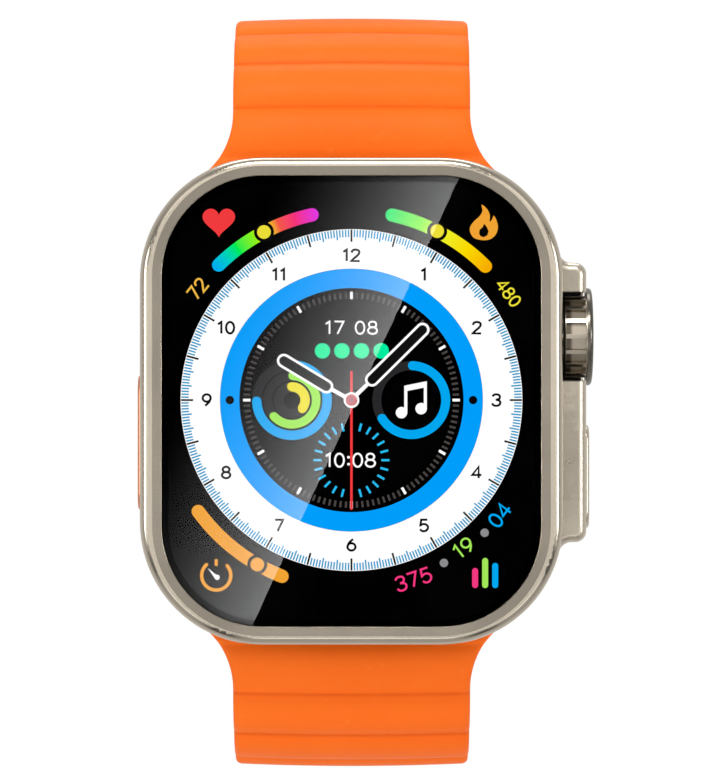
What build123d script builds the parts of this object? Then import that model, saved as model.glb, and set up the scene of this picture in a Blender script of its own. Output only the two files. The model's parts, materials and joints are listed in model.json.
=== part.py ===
from build123d import *
from math import cos, pi, radians, sin
import os

# GPS running watch on a closed silicone strap, millimetres.
# The dial faces -Y, 12 o'clock is +Z and the crown side (3 o'clock) is +X.  The origin is the
# middle of the flat sensor face that touches the wrist, so the case lies at negative Y and the
# strap loop closes at positive Y.  "Depth" below is the distance from the sensor face towards
# the dial, which is -Y, and matches the offsets of depth_plane().

# ---------------------------------------------------------------- driving dimensions
# case
CASE_W, CASE_H, CASE_R = 42.6, 49.0, 12.5
BACK_D, FRONT_D, CREST_D = 1.9, 12.0, 14.0
BACK_ROUND, TAPER_IN, TAPER_DEEP = 3.0, 0.28, 4.2
BEZEL_INSET = 0.3
OPENING_W, OPENING_H, OPENING_R = 37.8, 44.9, 10.1
LIP_W, LIP_DROP, CREST_ROUND = 0.85, 0.6, 0.85
GLASS_T, PANEL_T, FRAME_T = 1.2, 1.0, 0.9
FIT = 0.1  # clearance on each side between parts that are set into one another
UPPER_W, UPPER_H, UPPER_R, UPPER_D = 36.4, 43.6, 9.4, 9.8
LOWER_W, LOWER_H, LOWER_R, LOWER_D = 34.6, 40.0, 8.0, 3.2

# crown guard, crown and buttons on the sides
GUARD_X, GUARD_TOP, GUARD_BOTTOM, GUARD_R = 23.45, 13.8, -14.1, 1.1
GUARD_BACK_D, GUARD_FRONT_D = 3.7, 11.3
GUARD_ROOT_X, GUARD_BLEND, GUARD_EDGE = 20.7, 1.3, 0.8
AXIS_D = 7.5
CROWN_Z, CROWN_R, CROWN_CAP_R = 6.45, 4.1, 4.9
CROWN_IN_X, CROWN_OUT_X, CAP_IN_X = 21.2, 24.1, 23.55
RECESS_X, RECESS_HALF = 20.6, 4.4
SHAFT_R, TUBE_R = 1.0, 1.9
TEETH, TOOTH_W, TOOTH_RIM, POCKET_DEPTH = 16, 0.42, 0.2, 0.5
SHAFT_IN_X, TUBE_IN_X, SEAL_XS = 15.6, 17.05, (18.2, 19.4)
CLIP_X, CLIP_R, CLIP_T, GROOVE_DEEP = 16.72, 1.7, 0.26, 0.25
ENCODER_X, ENCODER_R, ENCODER_T, ENCODER_SLITS = 15.75, 2.1, 0.6, 24
PAD_X, PAD_R, PAD_T = 15.25, 0.9, 0.33
SWITCH_X, SWITCH_T, DOME_R, DOME_T = 13.5, 1.0, 0.8, 0.3
SWITCH_BOARD_X, SWITCH_BOARD_T = 12.85, 0.6
CROWN_TRAVEL = 0.35
SIDE_Z, SIDE_L, SIDE_W, SIDE_X = -7.6, 10.4, 3.2, 23.85
ACTION_Z, ACTION_L, ACTION_W = -4.2, 13.6, 3.4
BUTTON_TRAVEL = 0.3
PLUNGER_R, WALL_IN_X = 0.75, 17.3
SPEAKER_ROWS, SPEAKER_L, SPEAKER_W, SPEAKER_OFF = (10.1, 8.4, 6.7), 2.4, 0.8, 1.7
MIC_Z, MIC_PORT_R = -14.2, 0.35

# back
COVER_W, COVER_H, COVER_R, COVER_D = 31.0, 32.5, 8.8, 1.5
LEDGE_D = 2.6
BOSS_W, BOSS_H, BOSS_R = 26.6, 28.1, 7.8
SCREW_X, SCREW_Z, SCREW_R, SCREW_HEAD_R = 12.4, 13.1, 0.5, 0.8
CRYSTAL_R, CRYSTAL_FLAT_R, CRYSTAL_T, CRYSTAL_FLOOR_D = 12.4, 9.0, 1.5, 0.9
SENSOR_OPENING_R, SENSOR_BOARD_R, SENSOR_BOARD_D = 9.5, 9.2, 1.95
LED_PITCH, LED_SIDE, LED_D, LED_T = 2.2, 1.3, 1.05, 0.9
DIODE_RING_R, DIODE_SIDE, DIODE_D, DIODE_T = 6.0, 3.0, 1.15, 0.8
COIL_R, COIL_BORE_R, COIL_T = 12.6, 9.9, 0.4

# strap slots and the connectors that slide in them
NECK_BACK_D, NECK_FRONT_D = 4.45, 7.05
BULB_BACK_D, BULB_FRONT_D, BULB_IN_Z, BULB_OUT_Z = 3.6, 7.9, 21.0, 22.9
RELEASE_Z, RELEASE_L, RELEASE_W, RELEASE_D, RELEASE_T = 22.2, 4.6, 1.6, 2.15, 0.9
LOCK_PIN_R, LOCK_PIN_L = 0.6, 1.6
TONGUE_HALF_W, TONGUE_T, TONGUE_Z, TONGUE_L = 10.0, 0.9, 24.4, 4.4

# strap
STRAP_HALF_W, BASE_T, CREST = 12.0, 2.3, 0.75
RIB_PITCH, FIRST_VALLEY, CUT_GAP = 5.5, 5.3, 0.1
EXIT_Y, EXIT_Z = -6.9, CASE_H / 2
TOP_ROUND, TOP_SWEEP_R = 14.7, 34.0
LOW_ROUND, LOW_RUN, LOW_SWEEP_R = 12.7, 3.4, 36.0
OVERLAP_STEP = BASE_T + CREST + 0.35
FLARE_R, FLARE_TOP_Z, FLARE_ARC = 7.86, 29.0, radians(48)
MAGNET_W, MAGNET_L, MAGNET_T, MAGNET_IN = 18.0, 3.0, 1.2, 1.5
UPPER_CUTS = (0, 3, 7, 11, 14)  # rib counts where the upper half is cut into links
LOWER_CUTS = (0, 3, 7, 11, 16)

CASE_COLOUR = Color(0.78, 0.74, 0.67)
STRAP_COLOUR = Color(1.0, 0.42, 0.08)

os.makedirs("parts", exist_ok=True)


def save(part, name, colour=CASE_COLOUR):
    """Labels one finished piece and writes it as its own STEP file."""
    part.label = name
    part.color = colour
    export_step(part, f"parts/{name}.step")


def depth_plane(depth):
    """Plane parallel to the dial: local x is +X, local y is +Z, normal towards the dial."""
    return Plane.XZ.offset(depth)


def side_plane(x):
    """Plane across the case at x: local x is +Y, local y is +Z, normal along +X."""
    return Plane.YZ.offset(x)


# ---------------------------------------------------------------- case body
with BuildPart() as guard:
    with BuildSketch(depth_plane(GUARD_BACK_D)):
        with BuildLine():
            Polyline(
                (GUARD_ROOT_X, GUARD_BOTTOM - GUARD_BLEND),
                (GUARD_ROOT_X - 5, GUARD_BOTTOM - GUARD_BLEND),
                (GUARD_ROOT_X - 5, GUARD_TOP + GUARD_BLEND),
                (GUARD_ROOT_X, GUARD_TOP + GUARD_BLEND),
            )
            RadiusArc(
                (GUARD_ROOT_X, GUARD_TOP + GUARD_BLEND),
                (GUARD_ROOT_X + GUARD_BLEND, GUARD_TOP),
                -GUARD_BLEND,
            )
            Line((GUARD_ROOT_X + GUARD_BLEND, GUARD_TOP), (GUARD_X, GUARD_TOP))
            Line((GUARD_X, GUARD_TOP), (GUARD_X, GUARD_BOTTOM))
            Line((GUARD_X, GUARD_BOTTOM), (GUARD_ROOT_X + GUARD_BLEND, GUARD_BOTTOM))
            RadiusArc(
                (GUARD_ROOT_X + GUARD_BLEND, GUARD_BOTTOM),
                (GUARD_ROOT_X, GUARD_BOTTOM - GUARD_BLEND),
                -GUARD_BLEND,
            )
        make_face()
    extrude(amount=GUARD_FRONT_D - GUARD_BACK_D)
    fillet(guard.edges().filter_by(Axis.Y).group_by(Axis.X)[-1], GUARD_R)
    outer = guard.faces().filter_by(Axis.X).sort_by(Axis.X)[-1]
    fillet(outer.edges().filter_by(Axis.Z), GUARD_EDGE)

with BuildPart() as case_body:
    with BuildSketch(depth_plane(BACK_D)):
        RectangleRounded(CASE_W, CASE_H, CASE_R)
    extrude(amount=FRONT_D - BACK_D)
    fillet(case_body.faces().sort_by(Axis.Y)[-1].edges(), BACK_ROUND)
    front = case_body.faces().sort_by(Axis.Y)[0]
    chamfer(front.edges(), TAPER_IN, TAPER_DEEP, reference=front)
    add(guard.part)
    # stepped cavity for the electronics and the display
    with BuildSketch(depth_plane(LOWER_D)):
        RectangleRounded(LOWER_W, LOWER_H, LOWER_R)
    extrude(amount=UPPER_D - LOWER_D, mode=Mode.SUBTRACT)
    with BuildSketch(depth_plane(UPPER_D)):
        RectangleRounded(UPPER_W, UPPER_H, UPPER_R)
    extrude(amount=FRONT_D - UPPER_D, mode=Mode.SUBTRACT)
    # stepped opening for the back cover, with a boss behind each cover screw
    with BuildSketch(depth_plane(BACK_D - 1)):
        RectangleRounded(COVER_W + 2 * FIT, COVER_H + 2 * FIT, COVER_R + FIT)
    extrude(amount=LEDGE_D - BACK_D + 1, mode=Mode.SUBTRACT)
    with BuildSketch(depth_plane(LEDGE_D)):
        RectangleRounded(BOSS_W + 2 * FIT, BOSS_H + 2 * FIT, BOSS_R + FIT)
    extrude(amount=LOWER_D - LEDGE_D, mode=Mode.SUBTRACT)
    with BuildSketch(depth_plane(LEDGE_D)):
        with GridLocations(2 * SCREW_X, 2 * SCREW_Z, 2, 2):
            Circle(1.2)
    extrude(amount=1.4)
    with BuildSketch(depth_plane(LEDGE_D)):
        with GridLocations(2 * SCREW_X, 2 * SCREW_Z, 2, 2):
            Circle(SCREW_R + 0.02)
    extrude(amount=1.6, mode=Mode.SUBTRACT)
    # strap slots: a neck and a wider bulb, straight through along X at both ends
    with BuildSketch(side_plane(-CASE_W / 2 - 1)):
        with Locations((-(NECK_BACK_D + NECK_FRONT_D) / 2, BULB_IN_Z + 3)):
            Rectangle(NECK_FRONT_D - NECK_BACK_D, 6, align=(Align.CENTER, Align.CENTER))
        with Locations((-(BULB_BACK_D + BULB_FRONT_D) / 2, (BULB_IN_Z + BULB_OUT_Z) / 2)):
            RectangleRounded(BULB_FRONT_D - BULB_BACK_D, BULB_OUT_Z - BULB_IN_Z, 0.8)
        mirror(about=Plane.XZ)
    extrude(amount=CASE_W + 2, mode=Mode.SUBTRACT)
    # release button holes through the back wall into the slots
    with BuildSketch(depth_plane(BACK_D - 1)):
        with Locations((0, RELEASE_Z), (0, -RELEASE_Z)):
            SlotOverall(RELEASE_L + 2 * FIT, RELEASE_W + 2 * FIT)
    extrude(amount=BULB_BACK_D - BACK_D + 1.3, mode=Mode.SUBTRACT)
    # crown recess: square and open at the front, a round cradle behind the crown's axis
    with BuildSketch(depth_plane(AXIS_D)):
        with Locations((RECESS_X + 4, CROWN_Z)):
            RectangleRounded(8, 2 * RECESS_HALF, 0.8)
    extrude(amount=FRONT_D - AXIS_D, mode=Mode.SUBTRACT)
    with BuildSketch(side_plane(RECESS_X)):
        with Locations((-AXIS_D, CROWN_Z)):
            Circle(CROWN_R + FIT)
    extrude(amount=CROWN_OUT_X - RECESS_X, mode=Mode.SUBTRACT)
    # bore for the crown tube and the pocket behind the crown's cap
    with BuildSketch(side_plane(WALL_IN_X - 1)):
        with Locations((-AXIS_D, CROWN_Z)):
            Circle(TUBE_R)
    extrude(amount=RECESS_X - WALL_IN_X + 2, mode=Mode.SUBTRACT)
    with BuildSketch(side_plane(CAP_IN_X - CROWN_TRAVEL - FIT)):
        with Locations((-AXIS_D, CROWN_Z)):
            Circle(CROWN_CAP_R + FIT)
    extrude(amount=2, mode=Mode.SUBTRACT)
    # side button pocket and its two plunger bores
    with BuildSketch(side_plane(SIDE_X - 1.9)):
        with Locations((-AXIS_D, SIDE_Z)):
            SlotOverall(SIDE_L + 2 * FIT, SIDE_W + 2 * FIT, rotation=90)
    extrude(amount=3, mode=Mode.SUBTRACT)
    with BuildSketch(side_plane(WALL_IN_X - 1)):
        with Locations((-AXIS_D, SIDE_Z - 3), (-AXIS_D, SIDE_Z + 3)):
            Circle(PLUNGER_R + 0.05)
    extrude(amount=6, mode=Mode.SUBTRACT)
    # action button pocket and its two plunger bores on the other side
    with BuildSketch(side_plane(-CASE_W / 2 + 1.3)):
        with Locations((-AXIS_D, ACTION_Z)):
            SlotOverall(ACTION_L + 2 * FIT, ACTION_W + 2 * FIT, rotation=90)
    extrude(amount=-3, mode=Mode.SUBTRACT)
    with BuildSketch(side_plane(-WALL_IN_X + 1)):
        with Locations((-AXIS_D, ACTION_Z - 4), (-AXIS_D, ACTION_Z + 4)):
            Circle(PLUNGER_R + 0.05)
    extrude(amount=-5, mode=Mode.SUBTRACT)
    # speaker slots and the microphone port
    with BuildSketch(side_plane(-WALL_IN_X + 1)):
        for row in SPEAKER_ROWS:
            with Locations((-AXIS_D - SPEAKER_OFF, row), (-AXIS_D + SPEAKER_OFF, row)):
                SlotOverall(SPEAKER_L, SPEAKER_W)
        with Locations((-AXIS_D, MIC_Z)):
            Circle(MIC_PORT_R)
    extrude(amount=-6, mode=Mode.SUBTRACT)
save(case_body.part, "case_body")

# ---------------------------------------------------------------- front: bezel, glass, display
with BuildPart() as front_bezel:
    with BuildSketch(depth_plane(FRONT_D)):
        RectangleRounded(CASE_W - 2 * BEZEL_INSET, CASE_H - 2 * BEZEL_INSET, CASE_R - BEZEL_INSET)
        RectangleRounded(OPENING_W, OPENING_H, OPENING_R, mode=Mode.SUBTRACT)
    extrude(amount=CREST_D - FRONT_D)
    crest_loops = front_bezel.faces().sort_by(Axis.Y)[0].wires().sort_by(SortBy.LENGTH)
    chamfer(crest_loops[0].edges(), LIP_W, LIP_DROP, reference=front_bezel.faces().sort_by(Axis.Y)[0])
    crest_loops = front_bezel.faces().sort_by(Axis.Y)[0].wires().sort_by(SortBy.LENGTH)
    fillet(crest_loops[-1].edges(), CREST_ROUND)
save(front_bezel.part, "front_bezel")

with BuildPart() as cover_glass:
    with BuildSketch(depth_plane(FRONT_D + FIT)):
        RectangleRounded(OPENING_W - 2 * 0.05, OPENING_H - 2 * 0.05, OPENING_R - 0.05)
    extrude(amount=GLASS_T)
    chamfer(cover_glass.faces().sort_by(Axis.Y)[0].edges(), 0.12)
save(cover_glass.part, "cover_glass", Color(0.1, 0.1, 0.12))

with BuildPart() as glass_gasket:
    with BuildSketch(depth_plane(FRONT_D)):
        RectangleRounded(OPENING_W - 0.2, OPENING_H - 0.2, OPENING_R - 0.1)
        RectangleRounded(UPPER_W, UPPER_H, UPPER_R, mode=Mode.SUBTRACT)
    extrude(amount=FIT)
save(glass_gasket.part, "glass_gasket")

with BuildPart() as display_panel:
    with BuildSketch(depth_plane(FRONT_D - PANEL_T)):
        RectangleRounded(UPPER_W - 0.4, UPPER_H - 0.4, UPPER_R - 0.2)
    extrude(amount=PANEL_T)
save(display_panel.part, "display_panel", Color(0.02, 0.02, 0.02))

with BuildPart() as display_frame:
    with BuildSketch(depth_plane(UPPER_D)):
        RectangleRounded(UPPER_W - 0.2, UPPER_H - 0.2, UPPER_R - 0.1)
        with GridLocations(13, 15, 2, 2):
            RectangleRounded(9, 11, 2, mode=Mode.SUBTRACT)
    extrude(amount=FRAME_T)
save(display_frame.part, "display_frame")

# ---------------------------------------------------------------- electronics in the cavity
BOARD_D, BOARD_T, CAN_T, BATTERY_D, BATTERY_TOP_D = 8.4, 0.6, 0.7, 4.25, 8.2
with BuildPart() as main_board:
    with BuildSketch(depth_plane(BOARD_D)):
        RectangleRounded(25.2, 37.6, 3)
        with GridLocations(20, 33, 2, 2):
            Circle(0.7, mode=Mode.SUBTRACT)
    extrude(amount=BOARD_T)
save(main_board.part, "main_board", Color(0.05, 0.25, 0.15))

with BuildPart() as board_shield:
    with BuildSketch(depth_plane(BOARD_D + BOARD_T)):
        with Locations((0, 2), (0, -11)):
            RectangleRounded(20, 11, 0.8)
    extrude(amount=CAN_T)
save(board_shield.part, "board_shield")

with BuildPart() as gps_antenna:
    with BuildSketch(depth_plane(BOARD_D + BOARD_T)):
        with Locations((0, 14)):
            RectangleRounded(13, 5, 0.5)
    extrude(amount=CAN_T)
save(gps_antenna.part, "gps_antenna", Color(0.85, 0.8, 0.7))

with BuildPart() as battery:
    with BuildSketch(depth_plane(BATTERY_D)):
        with Locations((0, -3.8)):
            RectangleRounded(21.6, 25, 1.5)
    extrude(amount=BATTERY_TOP_D - BATTERY_D)
    fillet(battery.edges().filter_by(Axis.Y, reverse=True), 0.4)
save(battery.part, "battery", Color(0.2, 0.2, 0.22))

HAPTIC_Z, HAPTIC_W, HAPTIC_H, HAPTIC_T, HAPTIC_WALL = 13.6, 20.0, 6.0, 3.8, 0.3
with BuildPart() as haptic_housing:
    with BuildSketch(depth_plane(BATTERY_D)):
        with Locations((0, HAPTIC_Z)):
            RectangleRounded(HAPTIC_W, HAPTIC_H, 0.8)
    extrude(amount=HAPTIC_T)
    with BuildSketch(depth_plane(BATTERY_D + HAPTIC_WALL)):
        with Locations((0, HAPTIC_Z)):
            Rectangle(HAPTIC_W - 2 * HAPTIC_WALL, HAPTIC_H - 2 * HAPTIC_WALL)
    extrude(amount=HAPTIC_T - 2 * HAPTIC_WALL, mode=Mode.SUBTRACT)
save(haptic_housing.part, "haptic_housing")

with BuildPart() as haptic_mass:
    with BuildSketch(depth_plane(BATTERY_D + HAPTIC_WALL + 0.15)):
        with Locations((0, HAPTIC_Z)):
            Rectangle(HAPTIC_W - 2 * HAPTIC_WALL - 1.8, HAPTIC_H - 2 * HAPTIC_WALL - 0.3)
    extrude(amount=HAPTIC_T - 2 * HAPTIC_WALL - 0.3)
save(haptic_mass.part, "haptic_mass", Color(0.4, 0.4, 0.42))

with BuildPart() as speaker_module:
    with BuildSketch(depth_plane(4.6)):
        with Locations((-15.3, 8.2)):
            RectangleRounded(3.6, 8.4, 0.6)
    extrude(amount=4.9)
save(speaker_module.part, "speaker_module")

with BuildPart() as microphone:
    with BuildSketch(depth_plane(6.4)):
        with Locations((-15.1, MIC_Z)):
            Rectangle(2.0, 2.6)
    extrude(amount=2.2)
save(microphone.part, "microphone")

# ---------------------------------------------------------------- back cover and sensor stack
with BuildPart() as back_cover:
    with BuildSketch(depth_plane(COVER_D)):
        RectangleRounded(COVER_W, COVER_H, COVER_R)
    extrude(amount=LEDGE_D - COVER_D)
    fillet(back_cover.faces().sort_by(Axis.Y)[-1].edges(), 0.35)
    with BuildSketch(depth_plane(LEDGE_D)):
        RectangleRounded(BOSS_W, BOSS_H, BOSS_R)
    extrude(amount=LOWER_D - LEDGE_D)
    with BuildSketch(depth_plane(0)):
        Circle(SENSOR_OPENING_R)
    extrude(amount=LOWER_D + 1, mode=Mode.SUBTRACT)
    with BuildSketch(depth_plane(0)):
        with GridLocations(2 * SCREW_X, 2 * SCREW_Z, 2, 2):
            Circle(SCREW_HEAD_R + 0.05)
    extrude(amount=COVER_D + 0.7, mode=Mode.SUBTRACT)
    with BuildSketch(depth_plane(0)):
        with GridLocations(2 * SCREW_X, 2 * SCREW_Z, 2, 2):
            Circle(SCREW_R + 0.1)
    extrude(amount=LEDGE_D + 0.2, mode=Mode.SUBTRACT)
save(back_cover.part, "back_cover", Color(0.15, 0.15, 0.16))

with BuildPart() as back_screws:
    with BuildSketch(depth_plane(COVER_D + 0.05)):
        with GridLocations(2 * SCREW_X, 2 * SCREW_Z, 2, 2):
            Circle(SCREW_HEAD_R)
    extrude(amount=0.62)
    with BuildSketch(depth_plane(COVER_D + 0.6)):
        with GridLocations(2 * SCREW_X, 2 * SCREW_Z, 2, 2):
            Circle(SCREW_R)
    extrude(amount=1.7)
    with BuildSketch(depth_plane(COVER_D)):
        with GridLocations(2 * SCREW_X, 2 * SCREW_Z, 2, 2):
            RegularPolygon(0.38, 5)
    extrude(amount=0.4, mode=Mode.SUBTRACT)
save(back_screws.part, "back_screws")

with BuildPart() as cover_gasket:
    with BuildSketch(depth_plane(LOWER_D + 0.02)):
        RectangleRounded(BOSS_W + 2.6, BOSS_H + 2.6, BOSS_R + 1.3)
        RectangleRounded(BOSS_W - 0.6, BOSS_H - 0.6, BOSS_R - 0.3, mode=Mode.SUBTRACT)
        with GridLocations(2 * SCREW_X, 2 * SCREW_Z, 2, 2):
            Circle(1.3, mode=Mode.SUBTRACT)
    extrude(amount=0.3)
save(cover_gasket.part, "cover_gasket", Color(0.1, 0.1, 0.1))

with BuildPart() as sensor_crystal:
    with BuildSketch(Plane.XY):
        with BuildLine():
            Polyline(
                (0, 0),
                (0, -CRYSTAL_FLOOR_D),
                (CRYSTAL_FLAT_R + 0.3, -CRYSTAL_FLOOR_D),
                (CRYSTAL_FLAT_R + 0.3, -CRYSTAL_T),
                (CRYSTAL_R, -CRYSTAL_T),
            )
            TangentArc((CRYSTAL_FLAT_R, 0), (CRYSTAL_R, -CRYSTAL_T), tangent=(1, 0))
            Line((CRYSTAL_FLAT_R, 0), (0, 0))
        make_face()
    revolve(axis=Axis.Y)
save(sensor_crystal.part, "sensor_crystal", Color(0.05, 0.05, 0.06))

with BuildPart() as sensor_board:
    with BuildSketch(depth_plane(SENSOR_BOARD_D)):
        Circle(SENSOR_BOARD_R)
    extrude(amount=0.6)
save(sensor_board.part, "sensor_board", Color(0.05, 0.2, 0.12))

with BuildPart() as sensor_leds:
    with BuildSketch(depth_plane(LED_D)):
        with GridLocations(LED_PITCH, LED_PITCH, 2, 2):
            Rectangle(LED_SIDE, LED_SIDE)
    extrude(amount=LED_T)
save(sensor_leds.part, "sensor_leds", Color(0.2, 0.8, 0.3))

with BuildPart() as photodiodes:
    with BuildSketch(depth_plane(DIODE_D)):
        with PolarLocations(DIODE_RING_R, 4, start_angle=45):
            RectangleRounded(DIODE_SIDE, DIODE_SIDE, 0.3)
    extrude(amount=DIODE_T)
save(photodiodes.part, "photodiodes", Color(0.1, 0.1, 0.2))

with BuildPart() as charging_coil:
    with BuildSketch(depth_plane(LOWER_D + 0.04)):
        Circle(COIL_R)
        Circle(COIL_BORE_R, mode=Mode.SUBTRACT)
    extrude(amount=COIL_T)
save(charging_coil.part, "charging_coil", Color(0.75, 0.4, 0.2))


# ---------------------------------------------------------------- crown
def axis_plane(x):
    """Plane across the crown's axis at x, centred on the axis."""
    return Plane(origin=(x, -AXIS_D, CROWN_Z), x_dir=(0, 1, 0), z_dir=(1, 0, 0))


with BuildPart() as crown:
    with BuildSketch(axis_plane(CROWN_IN_X)):
        Circle(CROWN_R)
    extrude(amount=CAP_IN_X - CROWN_IN_X)
    chamfer(crown.faces().sort_by(Axis.X)[0].edges(), 0.18)
    pocket_w = 2 * pi * CROWN_R / TEETH - TOOTH_W
    with BuildSketch(axis_plane(CROWN_IN_X + TOOTH_RIM)):
        with PolarLocations(CROWN_R, TEETH, start_angle=360 / TEETH / 2):
            Rectangle(2 * POCKET_DEPTH, pocket_w)
    extrude(amount=CAP_IN_X - CROWN_IN_X - 2 * TOOTH_RIM + 0.1, mode=Mode.SUBTRACT)
    with BuildSketch(axis_plane(CROWN_IN_X - 1)):
        Circle(SHAFT_R)
    extrude(amount=4, mode=Mode.SUBTRACT)
save(crown.part, "crown")

with BuildPart() as crown_cap:
    with BuildSketch(axis_plane(CAP_IN_X)):
        Circle(CROWN_CAP_R)
    extrude(amount=CROWN_OUT_X - CAP_IN_X)
    fillet(crown_cap.faces().sort_by(Axis.X)[-1].edges(), 0.35)
    with BuildSketch(axis_plane(CROWN_OUT_X)):
        Circle(3.6)
        Circle(3.3, mode=Mode.SUBTRACT)
    extrude(amount=-0.15, mode=Mode.SUBTRACT)
save(crown_cap.part, "crown_cap", Color(0.3, 0.28, 0.26))

with BuildPart() as crown_shaft:
    with BuildSketch(axis_plane(SHAFT_IN_X)):
        Circle(SHAFT_R)
    extrude(amount=CAP_IN_X - 0.05 - SHAFT_IN_X)
    for groove_x in SEAL_XS:
        with BuildSketch(axis_plane(groove_x - 0.18)):
            Circle(SHAFT_R + 0.2)
            Circle(SHAFT_R - GROOVE_DEEP, mode=Mode.SUBTRACT)
        extrude(amount=0.36, mode=Mode.SUBTRACT)
    with BuildSketch(axis_plane(CLIP_X - 0.02)):
        Circle(SHAFT_R + 0.2)
        Circle(SHAFT_R - GROOVE_DEEP, mode=Mode.SUBTRACT)
    extrude(amount=CLIP_T + 0.04, mode=Mode.SUBTRACT)
save(crown_shaft.part, "crown_shaft")

with BuildPart() as crown_tube:
    with BuildSketch(axis_plane(TUBE_IN_X)):
        Circle(TUBE_R)
        Circle(SHAFT_R + 0.05, mode=Mode.SUBTRACT)
    extrude(amount=RECESS_X - FIT - TUBE_IN_X)
save(crown_tube.part, "crown_tube")

with BuildPart() as crown_seals:
    for seal_x in SEAL_XS:
        with BuildSketch(Plane(origin=(seal_x, -AXIS_D, CROWN_Z), x_dir=(0, 1, 0), z_dir=(0, 0, 1))):
            with Locations((SHAFT_R - 0.09, 0)):
                Circle(0.12)
        revolve(axis=Axis((0, -AXIS_D, CROWN_Z), (1, 0, 0)))
save(crown_seals.part, "crown_seals", Color(0.1, 0.1, 0.1))

with BuildPart() as crown_clip:
    with BuildSketch(axis_plane(CLIP_X)):
        Circle(CLIP_R)
        Circle(SHAFT_R - GROOVE_DEEP + 0.03, mode=Mode.SUBTRACT)
        with Locations((1.2, 0)):
            Rectangle(1.6, 0.9, mode=Mode.SUBTRACT)
    extrude(amount=CLIP_T)
save(crown_clip.part, "crown_clip")

with BuildPart() as encoder_wheel:
    with BuildSketch(axis_plane(ENCODER_X)):
        Circle(ENCODER_R)
        Circle(SHAFT_R, mode=Mode.SUBTRACT)
        with PolarLocations(ENCODER_R, ENCODER_SLITS):
            Rectangle(0.5, 0.25, mode=Mode.SUBTRACT)
    extrude(amount=ENCODER_T)
save(encoder_wheel.part, "encoder_wheel", Color(0.2, 0.2, 0.2))

with BuildPart() as crown_thrust_pad:
    with BuildSketch(axis_plane(PAD_X)):
        Circle(PAD_R)
    extrude(amount=PAD_T)
save(crown_thrust_pad.part, "crown_thrust_pad")

with BuildPart() as crown_switch:
    with BuildSketch(axis_plane(SWITCH_X)):
        Rectangle(3.0, 3.4)
    extrude(amount=SWITCH_T)
    with BuildSketch(axis_plane(SWITCH_X + SWITCH_T)):
        Circle(DOME_R)
    extrude(amount=DOME_T, taper=20)
save(crown_switch.part, "crown_switch", Color(0.7, 0.7, 0.7))

with BuildPart() as crown_sensor_board:
    with BuildSketch(axis_plane(SWITCH_BOARD_X)):
        RectangleRounded(3.9, 8.0, 0.5)
    extrude(amount=SWITCH_BOARD_T)
save(crown_sensor_board.part, "crown_sensor_board", Color(0.05, 0.25, 0.15))


# ---------------------------------------------------------------- side button and action button
def button(name, face_x, inward, middle_z, length, width, thickness, plunger_z, colour):
    """A stadium cap, its pair of plungers with a seal on each, and the switch behind them."""
    with BuildPart() as cap:
        with BuildSketch(side_plane(face_x)):
            with Locations((-AXIS_D, middle_z)):
                SlotOverall(length, width, rotation=90)
        extrude(amount=inward * thickness)
        outer_face = cap.faces().filter_by(Axis.X).sort_by(Axis.X, reverse=inward < 0)[0]
        fillet(outer_face.edges(), 0.3)
    save(cap.part, name, colour)
    cap_in_x = face_x + inward * thickness
    tip_x = -inward * (WALL_IN_X - 0.35)
    groove_x = (cap_in_x + tip_x) / 2
    ends = ((-AXIS_D, middle_z - plunger_z), (-AXIS_D, middle_z + plunger_z))
    with BuildPart() as plungers:
        with BuildSketch(side_plane(cap_in_x)):
            with Locations(*ends):
                Circle(PLUNGER_R)
        extrude(amount=inward * abs(tip_x - cap_in_x))
        with BuildSketch(side_plane(groove_x - 0.17)):
            with Locations(*ends):
                Circle(PLUNGER_R + 0.1)
                Circle(PLUNGER_R - 0.2, mode=Mode.SUBTRACT)
        extrude(amount=0.34, mode=Mode.SUBTRACT)
    save(plungers.part, name + "_plungers")
    with BuildPart() as seals:
        for y, z in ends:
            with BuildSketch(Plane(origin=(groove_x, y, z), x_dir=(0, 1, 0), z_dir=(0, 0, 1))):
                with Locations((PLUNGER_R - 0.06, 0)):
                    Circle(0.1)
            revolve(axis=Axis((0, y, z), (1, 0, 0)))
    save(seals.part, name + "_seals", Color(0.1, 0.1, 0.1))
    with BuildPart() as switch:
        with BuildSketch(side_plane(tip_x + inward * (BUTTON_TRAVEL + 0.1))):
            with Locations((-AXIS_D, middle_z)):
                RectangleRounded(2.8, 2 * plunger_z + 2.4, 0.4)
        extrude(amount=inward * 0.9)
    save(switch.part, name + "_switch", Color(0.7, 0.7, 0.7))


button("side_button", SIDE_X, -1, SIDE_Z, SIDE_L, SIDE_W, 1.5, 3.0, CASE_COLOUR)
button("action_button", -CASE_W / 2 - 0.15, 1, ACTION_Z, ACTION_L, ACTION_W, 1.05, 4.0, STRAP_COLOUR)

for end, name in ((1, "upper_release_button"), (-1, "lower_release_button")):
    with BuildPart() as release_button:
        with BuildSketch(depth_plane(RELEASE_D)):
            with Locations((0, end * RELEASE_Z)):
                SlotOverall(RELEASE_L, RELEASE_W)
        extrude(amount=RELEASE_T)
        fillet(release_button.faces().sort_by(Axis.Y)[-1].edges(), 0.25)
    save(release_button.part, name)

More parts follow.
